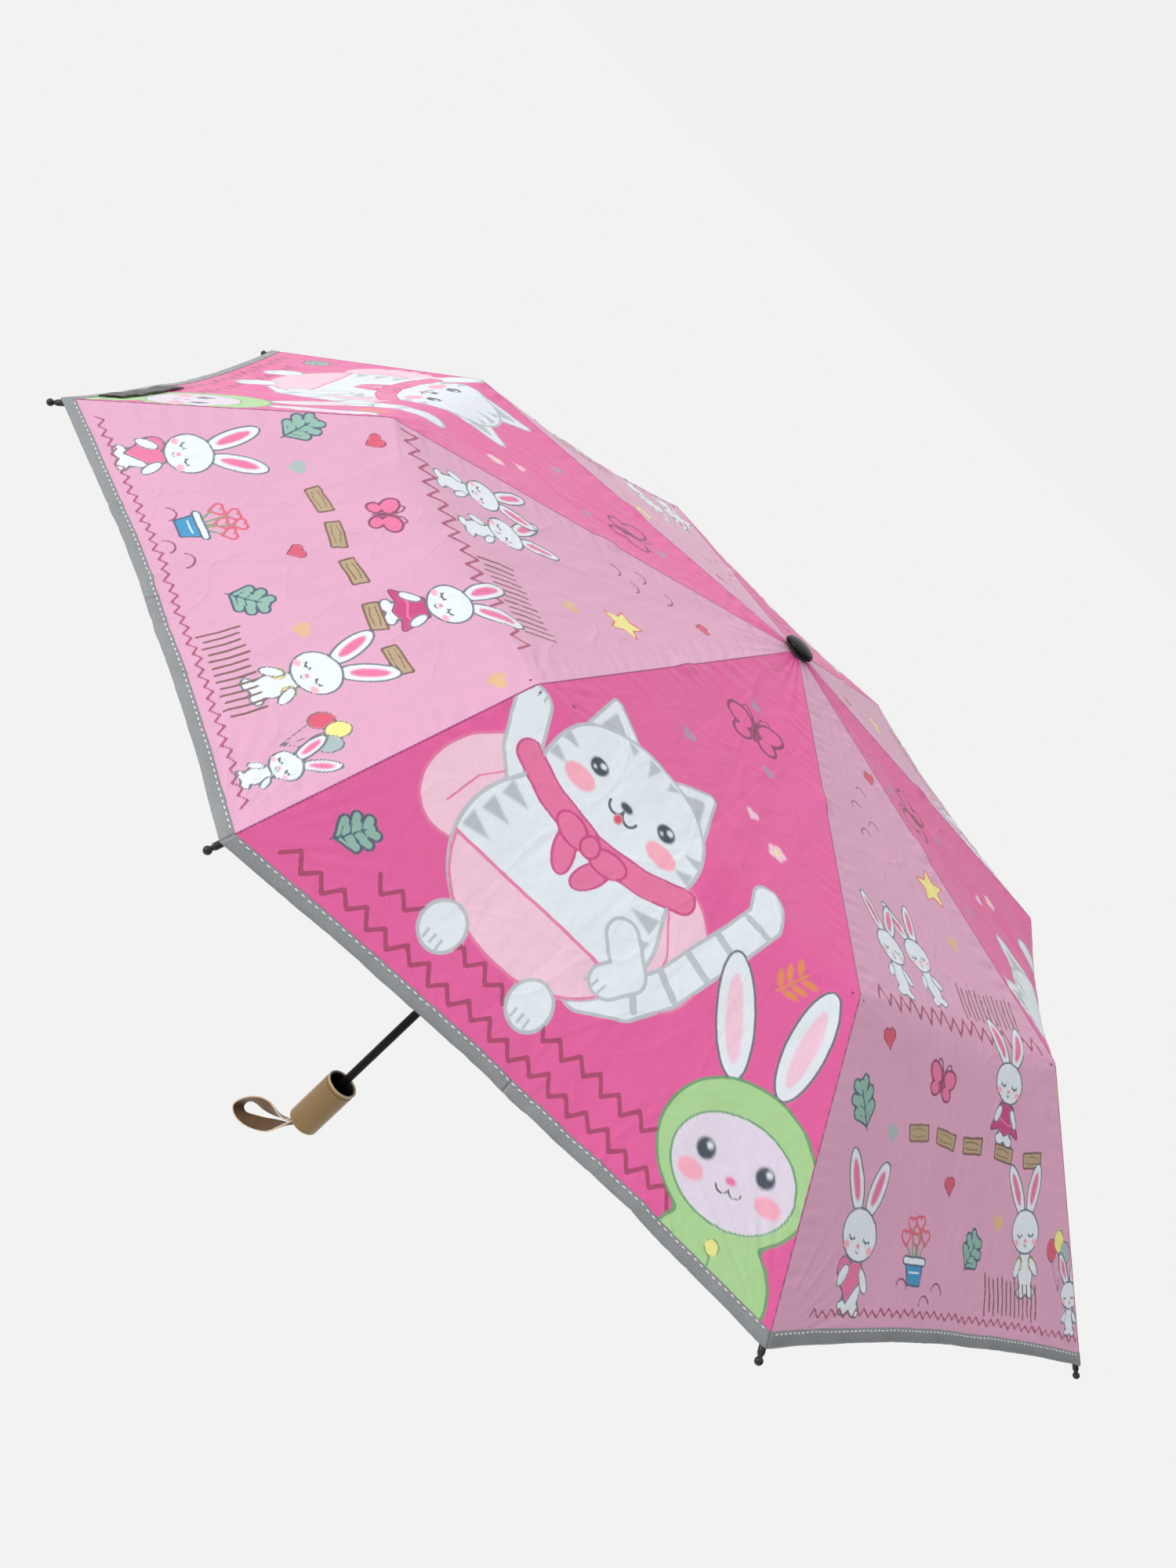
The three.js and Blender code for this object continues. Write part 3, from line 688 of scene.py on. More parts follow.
def kitten(p):
    """A plain kitten with a scarf, a short cape, a half-round pocket and a ringed tail."""
    left, top, reach = -45, 350, 160
    if not p.move(left, top, reach):
        return
    for side, low in ((-1, 14), (1, 10)):
        cape = melt(p.oval(side * 62, low, 30, 40, side * -24), p.oval(side * 40, -8, 30, 18), 10)
        p.fill(cape, "shell", "pink", 1.6)
        p.line(p.stroke([(side * 52, -14), (side * 70, 12), (side * 74, 36)]), "pink", 1.3)
    p.fill(p.stroke([(44, 66), (66, 52), (80, 28), (88, 0), (96, -26), (102, -50), (98, -64)], 10.5), "white",
           "grey", 2.2)
    for k, (x, y) in enumerate([(68, 46), (80, 26), (87, 4), (94, -18), (101, -42)]):
        p.move(left + x, top + y, 16, (-40, -62, -72, -70, -80)[k])
        p.line(p.stroke([(0, -8), (0, 8)]), "grey", 4.4)
    p.move(left, top, reach)
    p.fill(p.stroke([(-44, 0), (-62, -18), (-74, -44)], 11), "white", "grey", 2.2)
    for k in (-5, 0, 5):
        p.line(p.stroke([(-76 + k, -55), (-75 + k, -49)]), "grey", 1.6)
    for side in (-1, 1):
        p.fill(p.polygon([(2 + side * 11, -82), (2 + side * 38, -105), (2 + side * 42, -66)]) - 4,
               "white", "grey", 2.2)
        p.fill(p.polygon([(2 + side * 22, -84), (2 + side * 35, -96), (2 + side * 38, -76)]) - 1.5, "grey")
    p.fill(melt(p.oval(2, -34, 54, 58), p.oval(0, 28, 64, 60), 12), "white", "grey", 2.4)
    for x, tall in ((-15, 11), (2, 17), (19, 11)):
        p.fill(p.polygon([(x - 4.5, -89 + abs(x - 2) * 0.16), (x + 4.5, -89 + abs(x - 2) * 0.16),
                          (x * 0.8, -88 + tall)]), "grey")
    for side in (-1, 1):
        for k in range(3):
            y = 4 + 15 * k
            edge = 55 + 2.6 * k
            p.fill(p.polygon([(side * edge, y - 5), (side * edge, y + 6), (side * (edge - 17), y + 2)]),
                   "grey")
        for k in (0, 1):
            y = -46 + 13 * k
            p.fill(p.polygon([(2 + side * 52, y - 4), (2 + side * 53, y + 4), (2 + side * 41, y + 1)]),
                   "grey")
        p.fill(p.disc(2 + side * 26, -47, 6.2), "dark")
        p.fill(p.disc(2 + side * 26 + 1.8, -49.4, 2.1), "white")
        p.fill(p.disc(2 + side * 26 - 2.2, -44.6, 1.1), "white")
        p.fill(p.oval(2 + side * 31, -32, 10.5, 6.5), "blush")
    p.fill(p.oval(2, -39, 4.2, 2.8), "dark")
    for side in (-1, 1):
        p.line(p.arc(2 + side * 5, -35.5, 5, 0, 180), "dark", 1.7)
    p.fill(p.oval(2, -29.5, 2.8, 3.2), "red")
    scarf = p.stroke([(-58, -20), (-34, -10), (0, -5), (34, -10), (58, -20)], 7.5)
    p.fill(scarf, "pink", "deep", 1.6)
    for side in (-1, 1):
        p.fill(p.oval(side * 10, 9, 6.5, 14, side * 24), "pink", "deep", 1.6)
        p.fill(p.oval(side * 13, -4, 12, 7.5, side * -16), "pink", "deep", 1.6)
    p.fill(p.oval(0, -4, 6, 6.5), "pink", "deep", 1.6)
    p.fill(np.maximum(melt(p.oval(0, 28, 62, 58), p.oval(0, 34, 60, 54), 4), 45 - p.y),
           "shell", "pink", 2.2)
    p.fill(p.stroke([(44, 22), (60, 38), (52, 50)], 10), "white", "grey", 2.2)
    for k in (-5, 0, 5):
        p.line(p.stroke([(48 + k, 52), (47 + k, 58)]), "grey", 1.6)
    for x in (28, -33):
        p.fill(p.oval(x, 92, 12.5, 15.5), "white", "grey", 2.2)
        for k in (-4.5, 0, 4.5):
            p.line(p.stroke([(x + k, 98), (x + k, 104)]), "grey", 1.6)


def hooded_bunny(p):
    """A plain toy rabbit in a green hood with long ears."""
    if not p.move(120, 424, 122, -18, 1.08):
        return
    for x, y, turn in ((-22, -70, -14), (20, -72, 12)):
        p.fill(p.oval(x, y, 11, 34, turn), "white", "outline", 1.5)
        p.fill(p.oval(x, y + 2, 5, 24, turn), "shell")
    p.fill(melt(p.oval(0, 0, 44, 40), p.oval(0, 58, 34, 30), 6), "green", "leaf", 1.8)
    p.fill(p.oval(0, 6, 35, 28), "lilac", "leaf", 1.4)
    for side in (-1, 1):
        p.fill(p.disc(side * 17, 1, 5.4), "dark")
        p.fill(p.disc(side * 17 + 1.7, -1.2, 1.8), "white")
        p.fill(p.oval(side * 22, 14, 7.5, 5), "blush")
        p.line(p.arc(side * 3.6, 14, 3.7, 10, 170), "dark", 1.2)
    p.fill(p.oval(0, 10.5, 3, 2), "pink")
    p.fill(p.disc(0, 44, 4), "yellow", "leaf", 1.0)
    p.line(p.stroke([(0, 48), (0, 76)]), "leaf", 1.3)


def flower_pot(p, x, y):
    """A blue pot with drawn hearts on stalks."""
    if p.move(x, y, 36, 0, 0.68):
        for dx, dy in ((-17, -15), (-7, -27), (7, -29), (17, -17), (2, -14)):
            p.line(p.stroke([(dx * 0.4, -2), (dx, dy)]), "leaf", 1.5)
            p.line(p.heart_shape(dx, dy - 4, 13), "red", 1.7)
        p.fill(p.polygon([(-14, 0), (14, 0), (10, 20), (-10, 20)]) - 1.5, "blue", "navy", 1.4)
        p.fill(p.stroke([(-16, 0), (16, 0)], 3.6), "white", "navy", 1.4)
        p.line(p.stroke([(-9, 10), (9, 10)]), "white", 1.3)


def balloons(p, x, y):
    """Three balloons on strings."""
    if p.move(x, y, 34):
        for dx, dy, shade in ((-9, -6, "red"), (0, -13, "yellow"), (9, -6, "sage")):
            p.line(p.stroke([(dx, dy + 6), (3, 20)]), "outline", 0.9)
            p.fill(p.oval(dx, dy, 6, 7.5), shade, "outline", 1.1)


def hot_panel(p):
    """The design of the darker panels."""
    butterfly(p, 0, 137, 45, None, "berry", -14)
    heart(p, -8, 110, 9, "mauve", None, 20)
    heart(p, 20, 167, 9, "mauve", None, -15)
    flower(p, 46, 236, 15, "shell", "yellow")
    heart(p, 22, 222, 9, "shell")
    heart(p, -36, 205, 10, "mauve", None, 12)
    grass(p, 447, 84, -124, 4.4, 14, "rose", 2.4)
    grass(p, 468, 104, -166, 4.4, 14, "rose", 2.4)
    kitten(p)
    sprig(p, 90, 318, 27, 24, "orange")
    hooded_bunny(p)
    leaf(p, -142, 436, 26, 30)


def light_panel(p):
    """The design of the lighter panels."""
    heart(p, 10, 95, 10, "red", "berry", 8)
    for x, y, turn in ((-13, 112, 10), (-30, 128, -12), (-16, 141, 6), (-31, 150, -8)):
        small_arch(p, x, y, 11, turn)
    star(p, 32, 178, 27, "yellow", "red")
    heart(p, 30, 222, 11, "tan", None, -10)
    fence(p, 268, 4, 72, 3)
    bunny(p, -32, 243, 27, -8)
    bunny(p, -68, 246, 27, 8, -1)
    grass(p, 288, 92, -122, 5, 13, "rose", 1.9)
    bunny(p, 48, 318, 31, 4, 1, "skirt")
    heart(p, 115, 317, 11, "tan", None, 12)
    heart(p, -104, 314, 12, "red", "berry", -14)
    butterfly(p, -37, 330, 30, "pink", "berry", 12)
    leaf(p, -127, 355, 30, -24)
    blocks(p, 364, (85, 47, 7, -27, -60), 26)
    heart(p, -92, 368, 11, "sage", None, 10)
    heart(p, -18, 392, 11, "red", "berry", -8)
    leaf(p, 15, 430, 28, 34)
    bunny(p, 83, 410, 32, -8, -1, "discs")
    heart(p, 47, 409, 11, "tan", None, 14)
    fence(p, 454, 38, 104, -3)
    flower_pot(p, -54, 440)
    bunny(p, -119, 428, 34, 8, 1, "heart")
    for x, y, turn in ((-25, 455, 8), (-40, 463, -10), (-68, 454, 5)):
        small_arch(p, x, y, 12, turn)
    balloons(p, 128, 424)
    bunny(p, 146, 444, 20, -8, -1)
    grass(p, 471, 168, -168, 2.2, 9, "rose", 1.4)


# ---- the canopy's shape ----
def ripples(x, y, wave, count, seed):
    """Gentle uneven ripples, the same on every run, from -1 to 1."""
    random = np.random.default_rng(seed)
    total = np.zeros(np.broadcast(x, y).shape)
    for _ in range(count):
        turn, phase, stretch = random.uniform(0, 2 * pi), random.uniform(0, 2 * pi), random.uniform(0.7, 1.5)
        k = 2 * pi / (wave * stretch)
        total = total + np.sin(k * (x * cos(turn) + y * sin(turn)) + phase)
    return total / count ** 0.5 / 1.4


def streaks(x, wave, count, seed):
    """Uneven waves along one direction, from -1 to 1."""
    random = np.random.default_rng(seed)
    total = np.zeros(np.shape(x))
    for _ in range(count):
        total = total + np.sin(2 * pi * x / (wave * random.uniform(0.6, 1.7)) + random.uniform(0, 2 * pi))
    return total / count ** 0.5 / 1.4


def fade(value, start, end):
    """1 at start, falling smoothly to 0 at end."""
    t = np.clip((value - start) / (end - start), 0, 1)
    return 1 - t * t * (3 - 2 * t)


class Canopy:
    """The cloth's surface in mm: across is -1 on one rib and 1 on the next, down is the distance from the
    crown, along the ribs."""

    def __init__(self):
        s = settings().canopy
        self.s1, self.s2 = s.inner_slope, s.outer_slope
        self.first, self.knee, self.outer = s.first / MM, s.knee / MM, s.outer / MM
        self.lift, self.dip, self.sag = s.lift / MM, s.dip / MM, s.sag
        self.hem = self.knee + self.outer
        self.knee_radius = PIVOT.x + self.knee * cos(self.s1)
        self.knee_height = PIVOT.z - self.knee * sin(self.s1)

    def radius(self, down):
        """Distance of the rib line from the shaft's axis."""
        inner, outer = np.minimum(down, self.knee), np.maximum(down - self.knee, 0)
        return PIVOT.x + inner * cos(self.s1) + outer * cos(self.s2)

    def half(self, down):
        """Half the distance between two ribs."""
        return self.radius(down) * sin(STEP / 2)

    def flat(self, across, down):
        """Where a point lies on the flat-cut panel."""
        inner, outer = np.minimum(down, self.knee), np.maximum(down - self.knee, 0)
        return across * self.radius(down) * sin(STEP / 2), INNER_CUT * inner + OUTER_CUT * outer

    def knee_line(self, across):
        """How far down the line through a knee square to its rib crosses the cloth."""
        reach = self.knee_radius / (cos(STEP / 2) ** 2 + np.abs(across) * sin(STEP / 2) ** 2)
        return self.knee + np.maximum((reach - self.knee_radius) / cos(self.s2), 0.6)

    def rib_height(self, radius, soft):
        """Height of the stretched cloth, with its bend at the knee rounded."""
        z1 = PIVOT.z - (radius - PIVOT.x) * tan(self.s1) + self.lift / cos(self.s1)
        z2 = self.knee_height - (radius - self.knee_radius) * tan(self.s2) + self.lift / cos(self.s2)
        return melt(z1, z2, soft)

    def wrinkles(self, number, across, down, half):
        """Small folds: puckers along the seams, fans at the crown and the tips, creases from storage."""
        u = across * half
        seam = half * (1 - np.abs(across))
        rib = np.where(across < 0, number - 1, number % RIBS)
        puckers = np.zeros(across.shape)
        for r in np.unique(rib):
            here = rib == r
            puckers[here] = streaks(down[here], 13, 6, 40 + int(r))
        near_crown, near_hem = fade(down, 20, 110), 1 - fade(down, self.hem - 120, self.hem)
        centre = 1 - across * across
        total = 0.5 * puckers * (1 - fade(seam, 0, 6)) * fade(seam, 6, 30) * (1 - fade(down, 10, 40))
        total += centre ** 0.5 * (0.5 * near_crown
                                  * streaks(across * 3.2 + 0.006 * down, 1.0, 6, 60 + number))
        total += centre * 0.42 * ripples(u * 1.5, down * 0.8, 62, 7, 80 + number)
        total += centre * 0.22 * ripples(u * 1.6, down * 0.7, 19, 9, 100 + number)
        for wave, width, depth, seed in ((95, 0.05, 0.42, 220), (60, 0.05, 0.3, 240), (38, 0.07, 0.16, 260)):
            fold = np.abs(ripples(u, down * 0.8, wave, 6, seed + number))
            total += centre ** 0.5 * depth * (1 - fade(down, 6, 40)) * fade(fold, 0, width)
        for side in (-1, 1):
            tip_u, tip_v = side * self.half(self.hem), self.hem
            away = np.hypot(u - tip_u, down - tip_v) + 1e-6
            angle = np.arctan2(side * (tip_u - u), tip_v - down)
            fan = streaks(angle * (1 + 0.05 * number), 0.2, 5, 120 + number * 2 + (side > 0))
            total += 0.6 * fan * fade(away, 20, 130) * (1 - fade(away, 16, 60)) * np.minimum(1, seam / 12)
            knee_away = np.hypot(u - side * self.half(self.knee), (down - self.knee) * 0.7)
            angle = np.arctan2(seam, down - self.knee)
            total += (0.35 * streaks(angle, 0.4, 5, 160 + number * 2 + (side > 0))
                      * fade(knee_away, 14, 80) * (1 - fade(knee_away, 8, 30)) * np.minimum(1, seam / 12))
        total += 0.7 * near_hem * centre * streaks(u, 110, 4, 200 + number)
        crease = np.abs(((u * 0.95 + down * 0.16 + 11 * number) % 47.0) - 23.5)
        total -= 0.22 * centre * fade(crease, 0, 2.4)
        return total

    def points(self, number, across, down, lift=0.0):
        """Points of one panel, in mm."""
        across, down = np.broadcast_arrays(across, down)
        bend = 1 - across * across
        run = np.where(down <= self.knee, down,
                       self.knee + (down - self.knee) * (1 - self.dip * bend / self.outer))
        radius = self.radius(run)
        half = radius * sin(STEP / 2)
        seam = half * (1 - np.abs(across))
        height = self.rib_height(radius, 1.6 + 9 * bend) - self.sag * half * bend
        height = height + 1.3 * fade(np.abs(down - self.first), 2.5, 13) * fade(seam, 1.5, 10)
        height = height + self.wrinkles(number, across, down, half)
        slope = np.where(down > self.knee, self.s2, self.s1)
        out = radius * cos(STEP / 2) + lift * np.sin(slope)
        side = across * half
        height = height + lift * np.cos(slope)
        turn = STEP * (number - 0.5)
        return np.stack([out * cos(turn) - side * sin(turn), out * sin(turn) + side * cos(turn), height], -1)


# ---- making pieces ----
def add_piece(name, mesh, body, slot, *finishes, replaced=()):
    """A finished piece at the origin, riding on its body."""
    piece = bpy.data.objects.new(name, mesh)
    bpy.context.scene.collection.objects.link(piece)
    for each in finishes:
        mesh.materials.append(finish(each))
    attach(piece, body)
    if replaced:
        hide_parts(*replaced)
    return piece


def finish_node(node, name):
    """Give a CAD node a better finish."""
    mesh = frame["nodes"][node].data
    mesh.materials.clear()
    mesh.materials.append(finish(name))


def smooth_mesh(name, bm, angle=40, recalculate=True):
    """A mesh from a bmesh, smooth but for edges sharper than the angle."""
    bmesh.ops.remove_doubles(bm, verts=bm.verts, dist=1e-6)
    if recalculate:
        bmesh.ops.recalc_face_normals(bm, faces=bm.faces)
    for face in bm.faces:
        face.smooth = True
    for edge in bm.edges:
        edge.smooth = len(edge.link_faces) == 2 and edge.calc_face_angle(0) < radians(angle)
    mesh = bpy.data.meshes.new(name)
    bm.to_mesh(mesh)
    bm.free()
    return mesh


def round_edges(bm, edges, width, segments):
    """Round these edges by a width in mm."""
    bmesh.ops.bevel(bm, geom=edges, offset=width * MM, offset_type="OFFSET", segments=segments, profile=0.5,
                    affect="EDGES", clamp_overlap=True, material=-1)


def bevel_corners(bm, width, segments=3, angle=40):
    """Round every edge sharper than the angle."""
    sharp = [e for e in bm.edges if len(e.link_faces) == 2 and e.calc_face_angle(0) > radians(angle)]
    round_edges(bm, sharp, width, segments)


def spun(profile, steps=48, closed=False):
    """A turned shape about Z from (radius, height) points in mm."""
    bm = bmesh.new()
    verts = [bm.verts.new((r * MM, 0, z * MM)) for r, z in profile]
    edges = [bm.edges.new(pair) for pair in zip(verts, verts[1:])]
    if closed:
        edges.append(bm.edges.new((verts[-1], verts[0])))
    bmesh.ops.spin(bm, geom=verts + edges, cent=(0, 0, 0), axis=(0, 0, 1), angle=2 * pi, steps=steps,
                   use_merge=True, use_duplicate=False)
    bmesh.ops.remove_doubles(bm, verts=bm.verts, dist=1e-6)
    bmesh.ops.recalc_face_normals(bm, faces=bm.faces)
    return bm


def rib_turn(number):
    """A rib's direction round the shaft."""
    return STEP * (number - 1)


def along_rib(number, out, height, slope=0.0):
    """A matrix that puts X along a rib's slope and Z up out of it, at a place given in mm."""
    place = Matrix.Translation((out * MM, 0, height * MM)) @ Matrix.Rotation(slope, 4, "Y")
    return Matrix.Rotation(rib_turn(number), 4, "Z") @ place


def cloth_shell(name, front, back, every, flat=None, layers=None, normals=None):
    """A closed thin sheet: a fine front grid, a coarser back grid, and a rim between them. Points in mm."""
    rows, columns = front.shape[0] - 1, front.shape[1] - 1
    top = np.arange((rows + 1) * (columns + 1)).reshape(rows + 1, columns + 1)
    under = top.size + np.arange(back.shape[0] * back.shape[1]).reshape(back.shape[:2])
    faces = np.stack([top[:-1, :-1], top[1:, :-1], top[1:, 1:], top[:-1, 1:]], -1).reshape(-1, 4)
    lining = np.stack([under[:-1, :-1], under[:-1, 1:], under[1:, 1:], under[1:, :-1]], -1).reshape(-1, 4)
    rim = []

    def edge(fine, coarse, turned):
        for i in range(len(coarse) - 1):
            run = list(fine[i * every:(i + 1) * every + 1])
            face = run + [coarse[i + 1], coarse[i]]
            rim.append(face[::-1] if turned else face)

    edge(top[0], under[0], False)
    edge(top[-1], under[-1], True)
    edge(top[:, 0], under[:, 0], True)
    edge(top[:, -1], under[:, -1], False)
    loops = np.concatenate([faces.ravel(), lining.ravel(), np.concatenate(rim)])
    starts = np.concatenate([np.arange(len(faces) + len(lining)) * 4,
                             (len(faces) + len(lining)) * 4 + np.arange(len(rim)) * (every + 3)])
    places = np.concatenate([front.reshape(-1, 3), back.reshape(-1, 3)]) * MM
    mesh = bpy.data.meshes.new(name)
    mesh.vertices.add(len(places))
    mesh.vertices.foreach_set("co", places.ravel().astype(np.float32))
    mesh.loops.add(len(loops))
    mesh.loops.foreach_set("vertex_index", loops.astype(np.int32))
    mesh.polygons.add(len(starts))
    mesh.polygons.foreach_set("loop_start", starts.astype(np.int32))
    is_rim = np.arange(len(starts)) >= len(faces) + len(lining)
    is_lining = (np.arange(len(starts)) >= len(faces)) & ~is_rim
    mesh.update(calc_edges=True)
    mesh.polygons.foreach_set("use_smooth", ~is_rim)
    mesh.polygons.foreach_set("material_index", is_lining.astype(np.int32))
    if flat is not None:
        corners = np.concatenate([flat.reshape(-1, 2), flat[::every, ::every].reshape(-1, 2)]) * MM
        mesh.uv_layers.new(name="flat").data.foreach_set("uv", corners[loops].ravel().astype(np.float32))
    for label, values in (layers or {}).items():
        wide = values.ndim == 2
        padded = np.concatenate([values, np.zeros((back.shape[0] * back.shape[1],) + values.shape[1:])])
        if wide:
            padded = np.concatenate([padded, np.ones((len(padded), 1))], 1)
            layer = mesh.color_attributes.new(name=label, type="FLOAT_COLOR", domain="POINT")
            layer.data.foreach_set("color", padded.ravel().astype(np.float32))
        else:
            layer = mesh.attributes.new(name=label, type="FLOAT", domain="POINT")
            layer.data.foreach_set("value", padded.astype(np.float32))
    mesh.validate()
    if normals is not None:
        upright = normals.reshape(-1, 3)
        turned = -normals[::every, ::every].reshape(-1, 3)
        mesh.normals_split_custom_set_from_vertices(np.concatenate([upright, turned]).tolist())
    return mesh


def facing(canopy, number, across, down, reach=1.4):
    """The surface's outward directions, measured past the piece's own cuts so that its neighbours match."""
    near, far = (canopy.points(number, across, down + step) for step in (-reach, reach))
    turn = reach / (canopy.half(down) + reach)
    left, right = (canopy.points(number, np.clip(across + step, -1, 1), down) for step in (-turn, turn))
    out = np.cross(far - near, right - left)
    return out / np.linalg.norm(out, axis=2, keepdims=True)


def stitch_row(name, places, ways, ups, long, wide, high):
    """A row of small rounded stitches. Places, ways and ups are points and directions; sizes in mm."""
    bm = bmesh.new()
    for place, way, up in zip(places, ways, ups):
        way = Vector(way).normalized()
        side = Vector(up).cross(way).normalized()
        up = way.cross(side)
        shape = Matrix((way * long / 2, side * wide / 2, up * high / 2)).transposed().to_4x4() * MM
        shape[3][3] = 1
        shape.translation = Vector(place) * MM
        bmesh.ops.create_uvsphere(bm, u_segments=6, v_segments=4, radius=1, matrix=shape)
    return smooth_mesh(name, bm, 180, recalculate=False)


# ---- canopy pieces ----
def rib_beside(number, side):
    """The rib on one side of a panel."""
    return number if side < 0 else number % RIBS + 1


def across_half(side, count):
    """Even steps over one half of a panel, from left to right."""
    across = side * np.linspace(0, 1, count + 1)[None, :]
    return across[:, ::-1] if side < 0 else across


def segment_ends(canopy, segment, across=1.0):
    """Where a piece of cloth starts and ends, in mm from the crown. The cloth between the knees' own line and
    the line through a knee square to its rib is a piece by itself, because it gathers another way."""
    knee_line = canopy.knee_line(across)
    return {"top": (0.0, canopy.first), "middle": (canopy.first, canopy.knee),
            "knee": (canopy.knee, knee_line), "outer": (knee_line, canopy.hem)}[segment]


def flatten_with_ribs(piece, rib, segment, side=0):
    """Gives the piece a mesh of its own. The rib's direction, its knee and the slant at which the cloth
    beside a knee gathers as the umbrella closes are worked out, but nothing moves the cloth.
    """
    turn = rib_turn(rib)
    knee = along_rib(rib, KNEE_JOINT.x, KNEE_JOINT.z).translation
    slanted = turn - side * GATHER_SLANT if segment == "knee" else turn
    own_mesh(piece)


def half_panel(canopy, number, side, segment, every=4):
    """One half of one panel between two rib joints; gives the piece, its flat size and its flat area."""
    s = settings().canopy
    rib = rib_beside(number, side)
    spacing = s.spacing / MM
    far_end = {"top": canopy.first, "middle": canopy.knee}.get(segment, canopy.hem)
    columns = every * ceil(canopy.half(far_end) / spacing / every)
    across = across_half(side, columns)
    start, end = segment_ends(canopy, segment, across)
    rows = every * ceil(np.max(end - start) / spacing / every)
    across, down = np.broadcast_arrays(across, start + (end - start) * np.linspace(0, 1, rows + 1)[:, None])
    front = canopy.points(number, across, down)
    back = canopy.points(number, across[::every, ::every], down[::every, ::every], -s.thickness / MM)
    normals = facing(canopy, number, across, down)
    flat = np.stack(canopy.flat(across, down), -1)
    hot = number % 2 == 0
    paint = Print(flat[..., 0].ravel(), flat[..., 1].ravel(), s.hot_pink if hot else s.light_pink, spacing)
    paint.shift = PRINT_SHIFTS.get(number, 0.0)
    (hot_panel if hot else light_panel)(paint)
    name = f"gore_{number}_{SIDE_NAMES[side]}_{segment}"
    layers = {"print": paint.colours, "ink": paint.line_colours, "line_away": paint.line_away}
    mesh = cloth_shell(name, front, back, every, flat, layers, normals)
    cloth = "hot_pink_cloth" if hot else "light_pink_cloth"
    piece = add_piece(name, mesh, f"{RIB_OF[segment]}_{rib}", cloth, cloth, "coating",
                      replaced=[f"canopy_gore_{number}"])
    flatten_with_ribs(piece, rib, segment, side)
    one, other = flat[1:, 1:] - flat[:-1, :-1], flat[1:, :-1] - flat[:-1, 1:]
    area = float(np.abs(one[..., 0] * other[..., 1] - one[..., 1] * other[..., 0]).sum()) / 2 * MM * MM
    return piece, tuple(float(size) * MM for size in np.ptp(flat.reshape(-1, 2), 0)), area


def binding_piece(canopy, number, side):
    """The reflective binding folded over one half of a panel's hem."""
    s = settings().canopy
    rib = rib_beside(number, side)
    width = s.binding / MM
    down = canopy.hem + np.array([-width, -width + 0.6, -width / 2, -0.3, 0.5])[:, None]
    lift = np.array([0.12, 0.42, 0.5, 0.42, 0.0])[:, None]
    across = across_half(side, 96)
    front = canopy.points(number, across, down, lift)
    back = canopy.points(number, across, down, -0.7 - 0.5 * lift)
    name, tape = f"hem_binding_{number}_{SIDE_NAMES[side]}", "reflective_binding"
    piece = add_piece(name, cloth_shell(name, front, back, 1), f"outer_rib_{rib}", tape, tape, tape)
    flatten_with_ribs(piece, rib, "outer")
    return piece


def hem_stitches(canopy, number, side):
    """The lockstitch that holds the binding, on one half of a panel."""
    s = settings().canopy
    rib = rib_beside(number, side)
    line, lift, reach = canopy.hem - s.binding / MM + 1.9, 0.62, 0.985
    half = canopy.half(line)
    count = int(reach * half / (s.pitch / MM))
    across = side * (np.arange(count) + 0.5) * (s.pitch / MM) / half
    down = np.full(count, line)
    places = canopy.points(number, across, down, lift)
    ways = canopy.points(number, across + 0.004, down, lift) - places
    outs = canopy.points(number, across, down + 1.0, lift) - places
    ups = np.cross(outs, ways)
    name = f"hem_stitches_{number}_{SIDE_NAMES[side]}"
    mesh = stitch_row(name, places, ways, ups, s.stitch / MM, 0.85, 0.5)
    piece = add_piece(name, mesh, f"outer_rib_{rib}", "reflective_binding", "thread")
    flatten_with_ribs(piece, rib, "outer")
    return piece


def rib_seam(canopy, rib, segment):
    """The narrow felled seam that runs over a rib between two panels, in a darker pink that paints the shadow
    line along the seam.
    """
    start, end = segment_ends(canopy, segment)
    rows = max(8, int((end - start) / 3.2))
    down = np.linspace(start + (6 if segment == "top" else 0), end - (1 if segment == "outer" else 0),
                       rows + 1)
    line = canopy.points(rib, np.array(-1.0), down)
    turn = rib_turn(rib)
    side = np.array([-sin(turn), cos(turn), 0.0])
    offsets = np.array([-0.5, -0.3, 0.0, 0.3, 0.5])
    heights = np.array([-0.05, 0.14, 0.2, 0.14, -0.05])
    front = line[:, None, :] + offsets[None, :, None] * side + heights[None, :, None] * np.array([0, 0, 1.0])
    back = front - np.array([0, 0, 0.5])
    name = f"rib_seam_{rib}_{segment}"
    return add_piece(name, cloth_shell(name, front, back, 1), f"{segment}_rib_{rib}", "hot_pink_cloth",
                     "seam_cloth", "seam_cloth")


def knee_patch(rib):
    """The small black patch wrapped over the knee joint, under the panels."""
    radius = settings().fittings.patch_radius / MM
    bm = spun([(radius - 0.5, -4.7), (radius, -5), (radius + 0.15, 0), (radius, 5), (radius - 0.5, 4.7)], 24,
              closed=True)
    bmesh.ops.rotate(bm, verts=bm.verts, cent=(0, 0, 0), matrix=Matrix.Rotation(pi / 2, 3, "X"))
    bmesh.ops.transform(bm, matrix=along_rib(rib, KNEE_JOINT.x, KNEE_JOINT.z), verts=bm.verts)
    mesh = smooth_mesh(f"knee_patch_{rib}", bm, 50)
    return add_piece(f"knee_patch_{rib}", mesh, f"middle_rib_{rib}", "black_cloth", "black_cloth")


